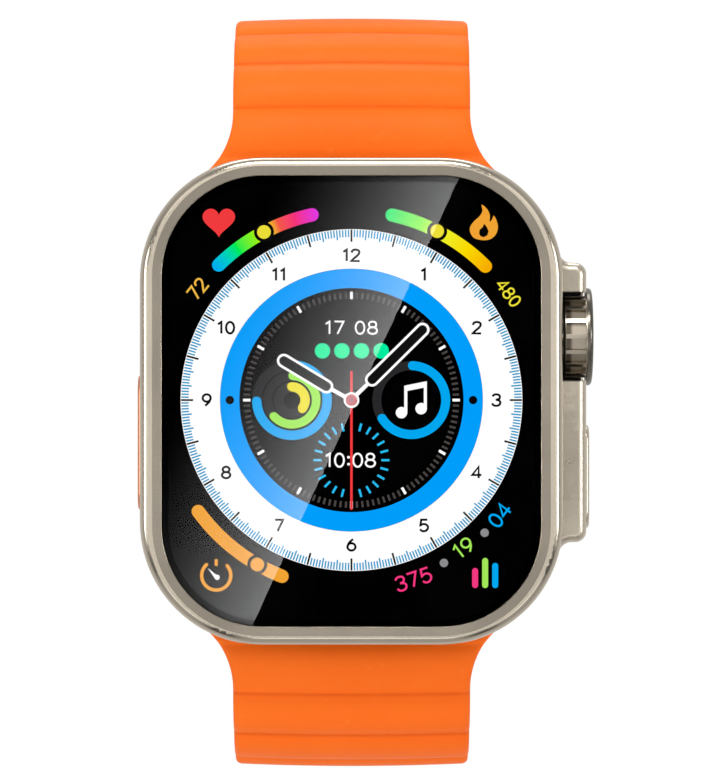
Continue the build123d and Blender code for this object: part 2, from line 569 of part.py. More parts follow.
# ---------------------------------------------------------------- strap
# Each half follows a chain of runs: (length, turn radius or None).  Radii and lengths are those
# of the valley line on the outer face.  The upper half is drawn as is, the lower one mirrored.
QUARTER = radians(90)
TOP_SWEEP_Z = EXIT_Z + TOP_ROUND - TOP_SWEEP_R
LOW_SWEEP_Z = EXIT_Z + LOW_ROUND - LOW_SWEEP_R
UPPER_RUNS = (
    (TOP_ROUND * QUARTER, TOP_ROUND),
    (TOP_SWEEP_R * QUARTER, TOP_SWEEP_R),
    (40, None),
)
LOWER_RUNS = (
    (LOW_ROUND * QUARTER, LOW_ROUND),
    (LOW_RUN, None),
    (LOW_SWEEP_R * QUARTER, LOW_SWEEP_R),
    (LOW_SWEEP_Z + TOP_SWEEP_Z, None),
    (40, TOP_SWEEP_R + OVERLAP_STEP),
)


def strap_point(runs, end, distance, out):
    """(y, z) at a distance along the valley line, moved out along its outward normal."""
    y, z, heading = EXIT_Y, EXIT_Z, QUARTER
    if distance < 0:
        return y - out, end * (z + distance)
    for length, radius in runs:
        step = min(length, distance)
        if radius is None:
            y += step * cos(heading)
            z += step * sin(heading)
        else:
            turned = heading - step / radius
            y += radius * (sin(heading) - sin(turned))
            z += radius * (cos(turned) - cos(heading))
            heading = turned
        distance -= step
        if distance <= 0:
            break
    return y - out * sin(heading), end * (z + out * cos(heading))


def strap_heading(runs, distance):
    """Heading in radians from +Y towards +Z at a distance along an upper-type half."""
    heading = QUARTER
    for length, radius in runs:
        step = min(length, max(distance, 0))
        heading -= 0 if radius is None else step / radius
        distance -= step
    return heading


def magnet_plane(runs, end, distance, out):
    """Plane lying along the strap at a distance, its normal pointing outwards."""
    y, z = strap_point(runs, end, distance, out)
    heading = strap_heading(runs, distance)
    return Plane(origin=(0, y, z), x_dir=(1, 0, 0), z_dir=(0, -sin(heading), end * cos(heading)))


def strap_half(name, runs, end, cuts, magnet_links):
    """Connector, collar, links and magnets of one strap half."""

    def place(distance, out):
        return strap_point(runs, end, distance, out)

    middle_d = (BULB_BACK_D + BULB_FRONT_D) / 2
    with BuildPart() as lug:
        with BuildSketch(side_plane(-CASE_W / 2)):
            with Locations((-middle_d, end * (BULB_IN_Z + BULB_OUT_Z) / 2)):
                RectangleRounded(
                    BULB_FRONT_D - BULB_BACK_D - 2 * FIT, BULB_OUT_Z - BULB_IN_Z - 2 * FIT, 0.7
                )
        extrude(amount=CASE_W)
        with BuildSketch(depth_plane(0)):
            RectangleRounded(CASE_W - 0.3, CASE_H - 0.3, CASE_R - 0.15)
        extrude(amount=CASE_W, mode=Mode.INTERSECT)
        with BuildSketch(side_plane(-TONGUE_HALF_W)):
            with Locations((-middle_d, end * TONGUE_Z)):
                Rectangle(TONGUE_T, TONGUE_L)
        extrude(amount=2 * TONGUE_HALF_W)
        with BuildSketch(depth_plane(0)):
            with Locations((0, end * RELEASE_Z)):
                Circle(LOCK_PIN_R + 0.05)
        extrude(amount=middle_d, mode=Mode.SUBTRACT)
    save(lug.part, f"{name}_lug")

    with BuildPart() as lock_pin:
        with BuildSketch(depth_plane(BULB_BACK_D + 0.2)):
            with Locations((0, end * RELEASE_Z)):
                Circle(LOCK_PIN_R)
        extrude(amount=LOCK_PIN_L)
        fillet(lock_pin.faces().sort_by(Axis.Y)[-1].edges(), 0.2)
    save(lock_pin.part, f"{name}_lock_pin")

    # collar: the strap's flared root, from inside the slot's neck to the first valley
    with BuildPart() as collar:
        with BuildSketch(Plane.YZ):
            with BuildLine():
                root = BULB_OUT_Z + FIT - EXIT_Z
                stop = FIRST_VALLEY - CUT_GAP / 2
                Line(place(root, 0), place(0, 0))
                ThreePointArc(place(0, 0), place(stop * 0.55, CREST * 0.8), place(stop, 0))
                Line(place(stop, 0), place(stop, -BASE_T))
                ThreePointArc(place(stop, -BASE_T), place(stop / 2, -BASE_T), place(0, -BASE_T))
                Line(place(0, -BASE_T), place(root, -BASE_T))
                Line(place(root, -BASE_T), place(root, 0))
            make_face()
        extrude(amount=18, both=True)
        foot_x = STRAP_HALF_W + FLARE_R * (1 - cos(FLARE_ARC))
        foot_z = FLARE_TOP_Z - FLARE_R * sin(FLARE_ARC)
        half_x = STRAP_HALF_W + FLARE_R * (1 - cos(FLARE_ARC / 2))
        half_z = FLARE_TOP_Z - FLARE_R * sin(FLARE_ARC / 2)
        with BuildSketch(depth_plane(-10)):
            with BuildLine():
                Line((0, end * 40), (STRAP_HALF_W, end * 40))
                Line((STRAP_HALF_W, end * 40), (STRAP_HALF_W, end * FLARE_TOP_Z))
                ThreePointArc(
                    (STRAP_HALF_W, end * FLARE_TOP_Z), (half_x, end * half_z), (foot_x, end * foot_z)
                )
                Line((foot_x, end * foot_z), (foot_x + 0.6, end * (foot_z - 0.5)))
                Line((foot_x + 0.6, end * (foot_z - 0.5)), (0, end * (foot_z - 0.5)))
                Line((0, end * (foot_z - 0.5)), (0, end * 40))
            make_face()
            mirror(about=Plane.YZ)
        extrude(amount=40, mode=Mode.INTERSECT)
        with BuildSketch(side_plane(-TONGUE_HALF_W - 0.02)):
            with Locations((-middle_d, end * TONGUE_Z)):
                Rectangle(TONGUE_T + 0.04, TONGUE_L + 0.04)
        extrude(amount=2 * TONGUE_HALF_W + 0.04, mode=Mode.SUBTRACT)
    save(collar.part, f"{name}_strap_collar", STRAP_COLOUR)

    for index, (first, last) in enumerate(zip(cuts, cuts[1:]), start=1):
        start = FIRST_VALLEY + RIB_PITCH * first + CUT_GAP / 2
        stop = FIRST_VALLEY + RIB_PITCH * last - (CUT_GAP / 2 if last != cuts[-1] else 0)
        rib_middles = [FIRST_VALLEY + RIB_PITCH * (i + 0.5) for i in range(first, last)]
        valleys = [FIRST_VALLEY + RIB_PITCH * i for i in range(first + 1, last)]
        spots = [start, *valleys, stop]
        with BuildPart() as link:
            with BuildSketch(Plane.YZ):
                with BuildLine():
                    for a, b in zip(spots, spots[1:]):
                        middle = (a + b) / 2
                        ThreePointArc(place(a, 0), place(middle, CREST), place(b, 0))
                        if abs(strap_heading(runs, a) - strap_heading(runs, b)) > 0.001:
                            ThreePointArc(place(a, -BASE_T), place(middle, -BASE_T), place(b, -BASE_T))
                        else:
                            Line(place(a, -BASE_T), place(b, -BASE_T))
                    Line(place(start, 0), place(start, -BASE_T))
                    Line(place(stop, 0), place(stop, -BASE_T))
                make_face()
            extrude(amount=STRAP_HALF_W, both=True)
            if index in magnet_links:
                for middle in rib_middles:
                    with BuildSketch(magnet_plane(runs, end, middle, -MAGNET_IN - 0.02)):
                        Rectangle(MAGNET_W + 0.04, MAGNET_L + 0.04)
                    extrude(amount=MAGNET_T + 0.04, mode=Mode.SUBTRACT)
        save(link.part, f"{name}_strap_{index}", STRAP_COLOUR)
        if index in magnet_links:
            with BuildPart() as magnets:
                for middle in rib_middles:
                    with BuildSketch(magnet_plane(runs, end, middle, -MAGNET_IN)):
                        Rectangle(MAGNET_W, MAGNET_L)
                    extrude(amount=MAGNET_T)
            save(magnets.part, f"{name}_magnets_{index}", Color(0.5, 0.5, 0.52))


strap_half("upper", UPPER_RUNS, 1, UPPER_CUTS, (3, 4))
strap_half("lower", LOWER_RUNS, -1, LOWER_CUTS, (3, 4))
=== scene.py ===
import bpy, bmesh, json
from math import atan2, cos, degrees, pi, radians, sin, sqrt
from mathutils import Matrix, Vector


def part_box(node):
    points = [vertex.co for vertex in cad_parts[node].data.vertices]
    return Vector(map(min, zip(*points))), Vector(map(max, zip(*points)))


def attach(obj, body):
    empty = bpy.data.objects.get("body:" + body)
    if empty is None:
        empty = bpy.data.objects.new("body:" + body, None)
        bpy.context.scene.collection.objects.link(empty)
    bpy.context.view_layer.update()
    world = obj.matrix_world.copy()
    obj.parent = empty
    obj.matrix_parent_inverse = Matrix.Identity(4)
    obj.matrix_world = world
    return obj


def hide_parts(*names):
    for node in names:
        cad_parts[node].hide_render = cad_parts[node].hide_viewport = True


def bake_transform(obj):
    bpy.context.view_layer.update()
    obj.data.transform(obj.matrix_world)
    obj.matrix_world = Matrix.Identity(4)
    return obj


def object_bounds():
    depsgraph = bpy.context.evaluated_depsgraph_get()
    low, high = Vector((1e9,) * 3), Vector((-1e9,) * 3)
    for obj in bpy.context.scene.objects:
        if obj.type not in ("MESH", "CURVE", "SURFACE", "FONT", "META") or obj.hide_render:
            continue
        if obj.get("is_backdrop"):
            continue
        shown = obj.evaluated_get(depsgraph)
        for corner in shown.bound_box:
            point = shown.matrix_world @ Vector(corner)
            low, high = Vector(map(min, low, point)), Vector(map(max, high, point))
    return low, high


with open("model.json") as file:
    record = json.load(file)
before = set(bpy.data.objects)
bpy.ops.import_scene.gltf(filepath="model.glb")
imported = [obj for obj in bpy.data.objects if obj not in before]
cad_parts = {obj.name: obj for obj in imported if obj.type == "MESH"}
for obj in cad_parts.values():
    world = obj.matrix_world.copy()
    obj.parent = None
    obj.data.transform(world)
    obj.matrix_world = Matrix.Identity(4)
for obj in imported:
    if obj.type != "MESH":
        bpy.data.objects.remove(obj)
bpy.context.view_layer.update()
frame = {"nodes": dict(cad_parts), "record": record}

MM = 0.001
QUARTER = pi / 2
scene = bpy.context.scene

# ------------------------------------------------------------------ node helpers


def new_material(name):
    """An empty node material with a Principled shader; returns (material, nodes, links, shader)."""
    m = bpy.data.materials.new(name)
    m.use_nodes = True
    nt = m.node_tree
    nt.nodes.clear()
    out = nt.nodes.new("ShaderNodeOutputMaterial")
    bsdf = nt.nodes.new("ShaderNodeBsdfPrincipled")
    nt.links.new(bsdf.outputs["BSDF"], out.inputs["Surface"])
    return m, nt.nodes, nt.links, bsdf


def coords(nodes, links, scale=(1, 1, 1)):
    """Object coordinates through a mapping with the given scale."""
    tc = nodes.new("ShaderNodeTexCoord")
    mp = nodes.new("ShaderNodeMapping")
    mp.inputs["Scale"].default_value = scale
    links.new(tc.outputs["Object"], mp.inputs["Vector"])
    return mp.outputs["Vector"]


def noise(nodes, links, vector, scale, detail=2.0, rough=0.5):
    n = nodes.new("ShaderNodeTexNoise")
    n.inputs["Scale"].default_value = scale
    n.inputs["Detail"].default_value = detail
    n.inputs["Roughness"].default_value = rough
    links.new(vector, n.inputs["Vector"])
    return n.outputs["Fac"]


def remap(nodes, links, value, a, b, lo, hi, smooth=False):
    r = nodes.new("ShaderNodeMapRange")
    if smooth:
        r.interpolation_type = "SMOOTHSTEP"
    for key, v in (("From Min", a), ("From Max", b), ("To Min", lo), ("To Max", hi)):
        r.inputs[key].default_value = v
    links.new(value, r.inputs["Value"])
    return r.outputs["Result"]


def mix_colour(nodes, links, fac, a, b):
    """Colour between a and b by fac; a and b are tuples or sockets."""
    m = nodes.new("ShaderNodeMix")
    m.data_type = "RGBA"
    links.new(fac, m.inputs["Factor"])
    for value, socket in ((a, m.inputs[6]), (b, m.inputs[7])):
        if isinstance(value, tuple):
            socket.default_value = (*value, 1)
        else:
            links.new(value, socket)
    return m.outputs[2]


def math_node(nodes, links, op, a, b=None):
    m = nodes.new("ShaderNodeMath")
    m.operation = op
    for i, v in enumerate((a, b)):
        if v is None:
            continue
        if isinstance(v, (int, float)):
            m.inputs[i].default_value = v
        else:
            links.new(v, m.inputs[i])
    return m.outputs[0]


def colour_ramp(nodes, links, fac, stops):
    """Colour picked along the (position, rgb or grey) stops, listed from low to high."""
    node = nodes.new("ShaderNodeValToRGB")
    els = node.color_ramp.elements
    els.remove(els[-1])
    for i, (pos, rgb) in enumerate(stops):
        el = els.new(pos) if i else els[0]
        el.position = pos
        el.color = (*rgb, 1) if isinstance(rgb, tuple) else (rgb, rgb, rgb, 1)
    links.new(fac, node.inputs["Fac"])
    return node.outputs["Color"]


def bump(nodes, links, bsdf, heights, distance):
    """Adds the (height socket, strength) pairs to the shader's normal, one bump after another."""
    last = None
    for height, strength in heights:
        b = nodes.new("ShaderNodeBump")
        b.inputs["Strength"].default_value = strength
        b.inputs["Distance"].default_value = distance
        links.new(height, b.inputs["Height"])
        if last is not None:
            links.new(last, b.inputs["Normal"])
        last = b.outputs["Normal"]
    links.new(last, bsdf.inputs["Normal"])


def shade(rgb, k):
    return tuple(min(1.0, c * k) for c in rgb)


# ------------------------------------------------------------------ materials


def box_mask(n, l, lo, hi):
    """1 inside the box between two corners in metres, 0 outside, with a short soft edge."""
    tc = n.new("ShaderNodeTexCoord")
    sep = n.new("ShaderNodeSeparateXYZ")
    l.new(tc.outputs["Object"], sep.inputs[0])
    mask = None
    for axis, a, b in zip("XYZ", lo, hi):
        for edge, sign in ((a, 1), (b, -1)):
            side = remap(n, l, sep.outputs[axis], edge - 0.00008 * sign, edge + 0.00008 * sign, 0, 1)
            mask = side if mask is None else math_node(n, l, "MULTIPLY", mask, side)
    return mask


def metal(name, rgb, rough, grain=9000, grain_bump=0.12, spread=0.05, hairline=0.09, shaded_recess=None):
    """Blasted or brushed metal: fine grain, patchy sheen, faint hairline scratches; painted shade,
    near-black, inside an optional box.
    """
    m, n, l, p = new_material(name)
    v = coords(n, l)
    fine = noise(n, l, v, grain, 2)
    patch = noise(n, l, v, 140, 3)
    hair = noise(n, l, coords(n, l, (1, 26, 1.4)), 900, 3, 0.7)
    tint = mix_colour(n, l, remap(n, l, patch, 0.3, 0.7, 0, 1), shade(rgb, 0.94), shade(rgb, 1.04))
    speck = mix_colour(n, l, remap(n, l, fine, 0.35, 0.65, 0, 0.35), tint, shade(rgb, 0.86))
    # painted shade: inside the given box the metal is coloured near-black, standing in for the shade in a
    # hollow
    if shaded_recess:
        speck = mix_colour(n, l, box_mask(n, l, *shaded_recess), speck, (0.012, 0.010, 0.008))
    l.new(speck, p.inputs["Base Color"])
    mixed = math_node(n, l, "ADD", remap(n, l, patch, 0.25, 0.75, -spread, spread),
                      remap(n, l, hair, 0.56, 0.72, rough, rough + hairline))
    l.new(mixed, p.inputs["Roughness"])
    p.inputs["Metallic"].default_value = 1.0
    bump(n, l, p, ((fine, grain_bump), (hair, hairline / 3)), 0.00002)
    return m


def plastic(name, rgb, rough, grain=5000, strength=0.1, coat=0.0, specular=0.5):
    """Moulded plastic, rubber or ceramic with a fine surface grain and slight colour drift."""
    m, n, l, p = new_material(name)
    v = coords(n, l)
    fine = noise(n, l, v, grain, 3)
    patch = noise(n, l, v, 120, 3)
    drift = remap(n, l, patch, 0.3, 0.7, 0, 1)
    l.new(mix_colour(n, l, drift, shade(rgb, 0.88), shade(rgb, 1.1)), p.inputs["Base Color"])
    l.new(remap(n, l, patch, 0.3, 0.7, rough - 0.04, rough + 0.05), p.inputs["Roughness"])
    p.inputs["Coat Weight"].default_value = coat
    p.inputs["Coat Roughness"].default_value = 0.06
    p.inputs["Specular IOR Level"].default_value = specular
    bump(n, l, p, ((fine, strength),), 0.00003)
    return m


def silicone():
    """Orange moulded silicone: dry satin skin, dust-fine grain, slightly deeper colour in places, painted
    shade in the valleys between the ribs.
    """
    m, n, l, p = new_material("silicone_orange")
    v = coords(n, l)
    patch = noise(n, l, v, 55, 3)
    mid = noise(n, l, v, 900, 3)
    fine = noise(n, l, v, 7000, 2)
    base = mix_colour(n, l, remap(n, l, patch, 0.3, 0.7, 0, 1), (0.93, 0.150, 0.010), (0.98, 0.172, 0.014))
    speck = mix_colour(n, l, remap(n, l, mid, 0.62, 0.8, 0, 0.5), base, (1.0, 0.2, 0.03))
    # painted shade: the valleys between the ribs, where the rise attribute is low, are coloured a darker
    # orange
    rise = n.new("ShaderNodeAttribute")
    rise.attribute_name = "rise"
    valley_shade = remap(n, l, rise.outputs["Fac"], 0.06, 0.34, 0.4, 0.0, True)
    l.new(mix_colour(n, l, valley_shade, speck, (0.62, 0.075, 0.004)), p.inputs["Base Color"])
    l.new(remap(n, l, mid, 0.3, 0.7, 0.42, 0.52), p.inputs["Roughness"])
    p.inputs["Specular IOR Level"].default_value = 0.1
    p.inputs["Subsurface Weight"].default_value = 0.08
    p.inputs["Subsurface Radius"].default_value = (1.0, 0.35, 0.12)
    p.inputs["Subsurface Scale"].default_value = 0.0012
    bump(n, l, p, ((mid, 0.05), (fine, 0.16)), 0.00003)
    return m


def cover_glass_material():
    m, n, l, p = new_material("sapphire_glass")
    smudge = noise(n, l, coords(n, l), 160, 3)
    film = remap(n, l, smudge, 0.45, 0.8, 0, 1)
    l.new(mix_colour(n, l, film, (1, 1, 1), (0.97, 0.975, 0.975)), p.inputs["Base Color"])
    p.inputs["Roughness"].default_value = 0.0
    p.inputs["Transmission Weight"].default_value = 1.0
    p.inputs["IOR"].default_value = 1.25
    return m


def crystal_material():
    """Dark rear crystal, clear enough to show the sensor windows under it."""
    m, n, l, p = new_material("rear_crystal")
    tc = n.new("ShaderNodeTexCoord")
    sep = n.new("ShaderNodeSeparateXYZ")
    l.new(tc.outputs["Object"], sep.inputs[0])
    x2 = math_node(n, l, "POWER", sep.outputs["X"], 2.0)
    z2 = math_node(n, l, "POWER", sep.outputs["Z"], 2.0)
    r = math_node(n, l, "SQRT", math_node(n, l, "ADD", x2, z2))
    clear = remap(n, l, r, 0.0088, 0.0090, 1.0, 0.0, True)
    smudge = noise(n, l, coords(n, l), 220, 3)
    l.new(mix_colour(n, l, clear, (0.012, 0.012, 0.013), (0.5, 0.5, 0.55)), p.inputs["Base Color"])
    l.new(clear, p.inputs["Transmission Weight"])
    l.new(remap(n, l, smudge, 0.4, 0.8, 0.02, 0.08), p.inputs["Roughness"])
    p.inputs["IOR"].default_value = 1.5
    p.inputs["Coat Weight"].default_value = 0.4
    return m


def board():
    """Solder-masked circuit board with fine copper tracks."""
    m, n, l, p = new_material("circuit_board")
    v = coords(n, l)
    brick = n.new("ShaderNodeTexBrick")
    brick.inputs["Scale"].default_value = 900
    brick.inputs["Mortar Size"].default_value = 0.03
    brick.inputs["Color1"].default_value = (0.012, 0.10, 0.055, 1)
    brick.inputs["Color2"].default_value = (0.010, 0.08, 0.045, 1)
    brick.inputs["Mortar"].default_value = (0.10, 0.30, 0.14, 1)
    l.new(v, brick.inputs["Vector"])
    l.new(brick.outputs["Color"], p.inputs["Base Color"])
    l.new(remap(n, l, noise(n, l, v, 500), 0.3, 0.7, 0.3, 0.45), p.inputs["Roughness"])
    bump(n, l, p, ((brick.outputs["Fac"], 0.2),), 0.00003)
    return m


def light_ink(name, rgb, strength=1.0):
    """A lit colour of the display, with the faint pixel structure of a panel."""
    m, n, l, p = new_material(name)
    v = coords(n, l)
    cell = noise(n, l, v, 6000, 1)
    dither = remap(n, l, cell, 0.3, 0.7, 0, 1)
    l.new(mix_colour(n, l, dither, shade(rgb, 0.97), shade(rgb, 1.0)), p.inputs["Emission Color"])
    p.inputs["Emission Strength"].default_value = strength
    p.inputs["Base Color"].default_value = (0, 0, 0, 1)
    p.inputs["Roughness"].default_value = 0.5
    p.inputs["Specular IOR Level"].default_value = 0.0
    return m


def light_ink_along_arc(name, stops, start, end, centre_z):
    """A lit colour running through the stops as the angle about the dial's centre goes start to end."""
    m, n, l, p = new_material(name)
    tc = n.new("ShaderNodeTexCoord")
    sep = n.new("ShaderNodeSeparateXYZ")
    l.new(tc.outputs["Object"], sep.inputs[0])
    z = math_node(n, l, "SUBTRACT", sep.outputs["Z"], centre_z)
    angle = math_node(n, l, "ARCTAN2", sep.outputs["X"], z)
    fac = remap(n, l, angle, radians(start), radians(end), 0, 1)
    l.new(colour_ramp(n, l, fac, stops), p.inputs["Emission Color"])
    p.inputs["Emission Strength"].default_value = 1.0
    p.inputs["Base Color"].default_value = (0, 0, 0, 1)
    p.inputs["Specular IOR Level"].default_value = 0.0
    return m


def bezel_metal():
    """The bezel's titanium, polished on its slopes and satin along the flat crest."""
    m = metal("titanium_bezel", (0.62, 0.55, 0.445), 0.18, grain_bump=0.02, spread=0.02, hairline=0.02)
    n, l = m.node_tree.nodes, m.node_tree.links
    p = next(node for node in n if node.type == "BSDF_PRINCIPLED")
    rough = p.inputs["Roughness"].links[0].from_socket
    facing = n.new("ShaderNodeSeparateXYZ")
    l.new(n.new("ShaderNodeNewGeometry").outputs["Normal"], facing.inputs[0])
    flat = math_node(n, l, "MULTIPLY", facing.outputs["Y"], -1.0)
    crest = remap(n, l, flat, 0.988, 0.997, 0, 0.32, True)
    l.new(math_node(n, l, "ADD", rough, crest), p.inputs["Roughness"])
    return m


TITANIUM = (0.66, 0.585, 0.475)
# opposite corners, in metres, of the recess the crown sits in; the titanium inside it gets painted shade,
# near-black
CROWN_RECESS_SHADE = ((0.0203, -0.0121, 0.00197), (0.0232, -0.0029, 0.01093))
MATS = {
    "titanium": metal("titanium_satin", TITANIUM, 0.30, grain_bump=0.16, shaded_recess=CROWN_RECESS_SHADE),
    "titanium_bezel": bezel_metal(),
    "orange_metal": metal("orange_anodised", (0.80, 0.30, 0.17), 0.34),
    "dark_metal": metal("dark_metal", (0.17, 0.155, 0.13), 0.26),
    "steel": metal("steel", (0.62, 0.62, 0.60), 0.28),
    "sapphire_glass": cover_glass_material(),
    "display": plastic("display_black", (0.0005, 0.0005, 0.0006), 0.35, strength=0.01, specular=0.0),
    "crystal": crystal_material(),
    "back_ceramic": plastic("back_ceramic", (0.016, 0.016, 0.018), 0.16, grain=1500, strength=0.02,
                            coat=0.5),
    "silicone": silicone(),
    "seal_rubber": plastic("seal_rubber", (0.02, 0.02, 0.02), 0.6),
    "circuit_board": board(),
    "battery_foil": metal("battery_foil", (0.16, 0.16, 0.18), 0.4),
    "antenna_ceramic": plastic("antenna_ceramic", (0.7, 0.62, 0.48), 0.5),
    "black_plastic": plastic("black_plastic", (0.025, 0.025, 0.028), 0.42),
    "copper_coil": metal("copper_coil", (0.72, 0.34, 0.16), 0.3, grain=2500, grain_bump=0.5),
    "led_lens": plastic("led_lens", (0.20, 0.62, 0.28), 0.12, coat=1.0),
    "magnet": metal("magnet_nickel", (0.62, 0.61, 0.58), 0.22),
}
CROWN_AXIS = (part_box("crown")[0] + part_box("crown")[1]) / 2
CROWN_RADIUS = (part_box("crown")[1].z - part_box("crown")[0].z) / 2


def crown_metal():
    """The crown's titanium, with painted shade in the pockets between its ridges, darkest toward the case.
    """
    m = metal("titanium_crown", TITANIUM, 0.30, grain_bump=0.16)
    n, l = m.node_tree.nodes, m.node_tree.links
    p = next(node for node in n if node.type == "BSDF_PRINCIPLED")
    base = p.inputs["Base Color"].links[0].from_socket
    tc = n.new("ShaderNodeTexCoord")
    shift = n.new("ShaderNodeVectorMath")
    shift.operation = "SUBTRACT"
    shift.inputs[1].default_value = CROWN_AXIS
    l.new(tc.outputs["Object"], shift.inputs[0])
    flat = n.new("ShaderNodeVectorMath")
    flat.operation = "MULTIPLY"
    flat.inputs[1].default_value = (0, 1, 1)
    l.new(shift.outputs[0], flat.inputs[0])
    length = n.new("ShaderNodeVectorMath")
    length.operation = "LENGTH"
    l.new(flat.outputs[0], length.inputs[0])
    sep = n.new("ShaderNodeSeparateXYZ")
    l.new(shift.outputs[0], sep.inputs[0])
    # painted shade: below the ridge tops the pockets are coloured dark, darker still toward the case
    ridge = remap(n, l, length.outputs["Value"], CROWN_RADIUS - 0.00028, CROWN_RADIUS - 0.0001, 0, 1, True)
    pocket_shade = mix_colour(n, l, remap(n, l, sep.outputs["X"], -0.0006, -0.0002, 0, 1, True),
                            (0.10, 0.082, 0.062), (0.40, 0.35, 0.28))
    l.new(mix_colour(n, l, ridge, pocket_shade, base), p.inputs["Base Color"])
    return m


slots = {row["node"]: row["material_slot"] for row in frame["record"]["subparts"]}
for node, obj in frame["nodes"].items():
    obj.data.materials.clear()
    obj.data.materials.append(MATS[slots[node]])
frame["nodes"]["crown"].data.materials[0] = crown_metal()

# ------------------------------------------------------------------ mesh helpers


def add_object(name, mesh, material, body=None, smooth_angle=None):
    obj = bpy.data.objects.new(name, mesh)
    scene.collection.objects.link(obj)
    mesh.materials.clear()
    mesh.materials.append(material)
    if smooth_angle is not None:
        mesh.polygons.foreach_set("use_smooth", [True] * len(mesh.polygons))
        mesh.set_sharp_from_angle(angle=radians(smooth_angle))
    if body:
        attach(obj, body)
    return obj


# ------------------------------------------------------------------ strap
# The same runs as the CAD strap, in millimetres along the valley line of the outer face.
HALF_W, BASE_T, CREST, PITCH, FIRST = 12.0, 2.3, 0.75, 5.5, 5.3
EXIT_Y, EXIT_Z = -6.9, 24.5
TOP_ROUND, TOP_SWEEP = 14.7, 34.0
LOW_ROUND, LOW_RUN, LOW_SWEEP = 12.7, 3.4, 36.0
FLARE_R, FLARE_Z = 7.86, 29.0
LOW_Z = EXIT_Z + LOW_ROUND - LOW_SWEEP
TOP_Z = EXIT_Z + TOP_ROUND - TOP_SWEEP
UPPER = dict(end=1, ribs=14, runs=(
    (TOP_ROUND * QUARTER, TOP_ROUND), (TOP_SWEEP * QUARTER, TOP_SWEEP), (40, None)))
LOWER = dict(end=-1, ribs=16, runs=(
    (LOW_ROUND * QUARTER, LOW_ROUND), (LOW_RUN, None), (LOW_SWEEP * QUARTER, LOW_SWEEP),
    (LOW_Z + TOP_Z, None), (40, TOP_SWEEP + BASE_T + CREST + 0.35)))
DOME = 0.28


def strap_point(half, s, out):
    """(y, z) in mm at distance s along the valley line, moved out along the outward normal."""
    y, z, heading = EXIT_Y, EXIT_Z, QUARTER
    if s < 0:
        return y - out, half["end"] * (z + s)
    for length, radius in half["runs"]:
        step = min(length, s)
        if radius is None:
            y += step * cos(heading)
            z += step * sin(heading)
        else:
            turned = heading - step / radius
            y += radius * (sin(heading) - sin(turned))
            z += radius * (cos(turned) - cos(heading))
            heading = turned
        s -= step
        if s <= 0:
            break
    return y - out * sin(heading), half["end"] * (z + out * cos(heading))


def rib_height(s):
    """Height of the ribbed face over the valley line: flattened crests, rounded valleys."""
    if s <= 0:
        return 0.0
    if s < FIRST:
        h = CREST * 0.8 * (1 - abs(2 * s / FIRST - 1.05) ** 2.6)
        return max(0.0, h) if s < FIRST / 2 else valley_round(h)
    t = ((s - FIRST) / PITCH) % 1.0
    return valley_round(CREST * (1 - abs(2 * t - 1) ** 2.8))


def valley_round(h):
    return min(CREST, sqrt(max(h, 0.0) ** 2 + 0.0025))


def half_width(half, s, end_s):
    z = abs(strap_point(half, s, 0)[1])
    w = HALF_W
    if s < FIRST and z < FLARE_Z:
        drop = min(FLARE_Z - z, FLARE_R * sin(radians(48)))
        w = HALF_W + FLARE_R - sqrt(FLARE_R ** 2 - drop ** 2)
    corner = 2.4
    if s > end_s - corner:
        w -= corner - sqrt(max(0.0, corner ** 2 - (s - end_s + corner) ** 2))
    return w


def strap_section(half, s, end_s):
    """Closed ring of (x, out) points of the strap's section at s, thin edges rounded."""
    w = half_width(half, s, end_s)
    top = rib_height(s)
    bottom = -BASE_T
    shrink = 1.0
    if s > end_s - 0.9:
        u = (s - end_s + 0.9) / 0.9
        shrink = sqrt(max(0.0, 1 - u * u)) * 0.55 + 0.45
        middle = (top + bottom) / 2
        top, bottom = middle + (top - middle) * shrink, middle + (bottom - middle) * shrink
    ro, ri = 0.55, 0.45
    dome = DOME if s > 0 else DOME * max(0.0, 1 + s / 0.4)
    ring = []
    count = 18
    for i in range(count + 1):
        x = -(w - ro) + 2 * (w - ro) * i / count
        ring.append((x, top - dome * (x / w) ** 2))
    edge = top - dome
    for k in range(1, 6):
        a = QUARTER * k / 5
        ring.append((w - ro + ro * sin(a), edge - ro + ro * cos(a)))
    for k in range(0, 6):
        a = QUARTER * k / 5
        ring.append((w - ri + ri * cos(a), bottom + ri - ri * sin(a)))
    for i in range(1, 10):
        x = (w - ri) - 2 * (w - ri) * i / 10
        ring.append((x, bottom))
    for k in range(0, 6):
        a = QUARTER * k / 5
        ring.append((-(w - ri) - ri * sin(a), bottom + ri - ri * cos(a)))
    for k in range(0, 5):
        a = QUARTER * k / 5
        ring.append((-(w - ro) - ro * cos(a), edge - ro + ro * sin(a)))
    return ring


def rise_at(s, out):
    """How far up a rib a point of the outer face lies, 0 in the valley and 1 on the crest; 1 elsewhere. It
    drives the painted valley shade of the silicone.
    """
    if s < FIRST / 2 or out < -BASE_T / 2:
        return 1.0
    return min(1.0, rib_height(s) / CREST)


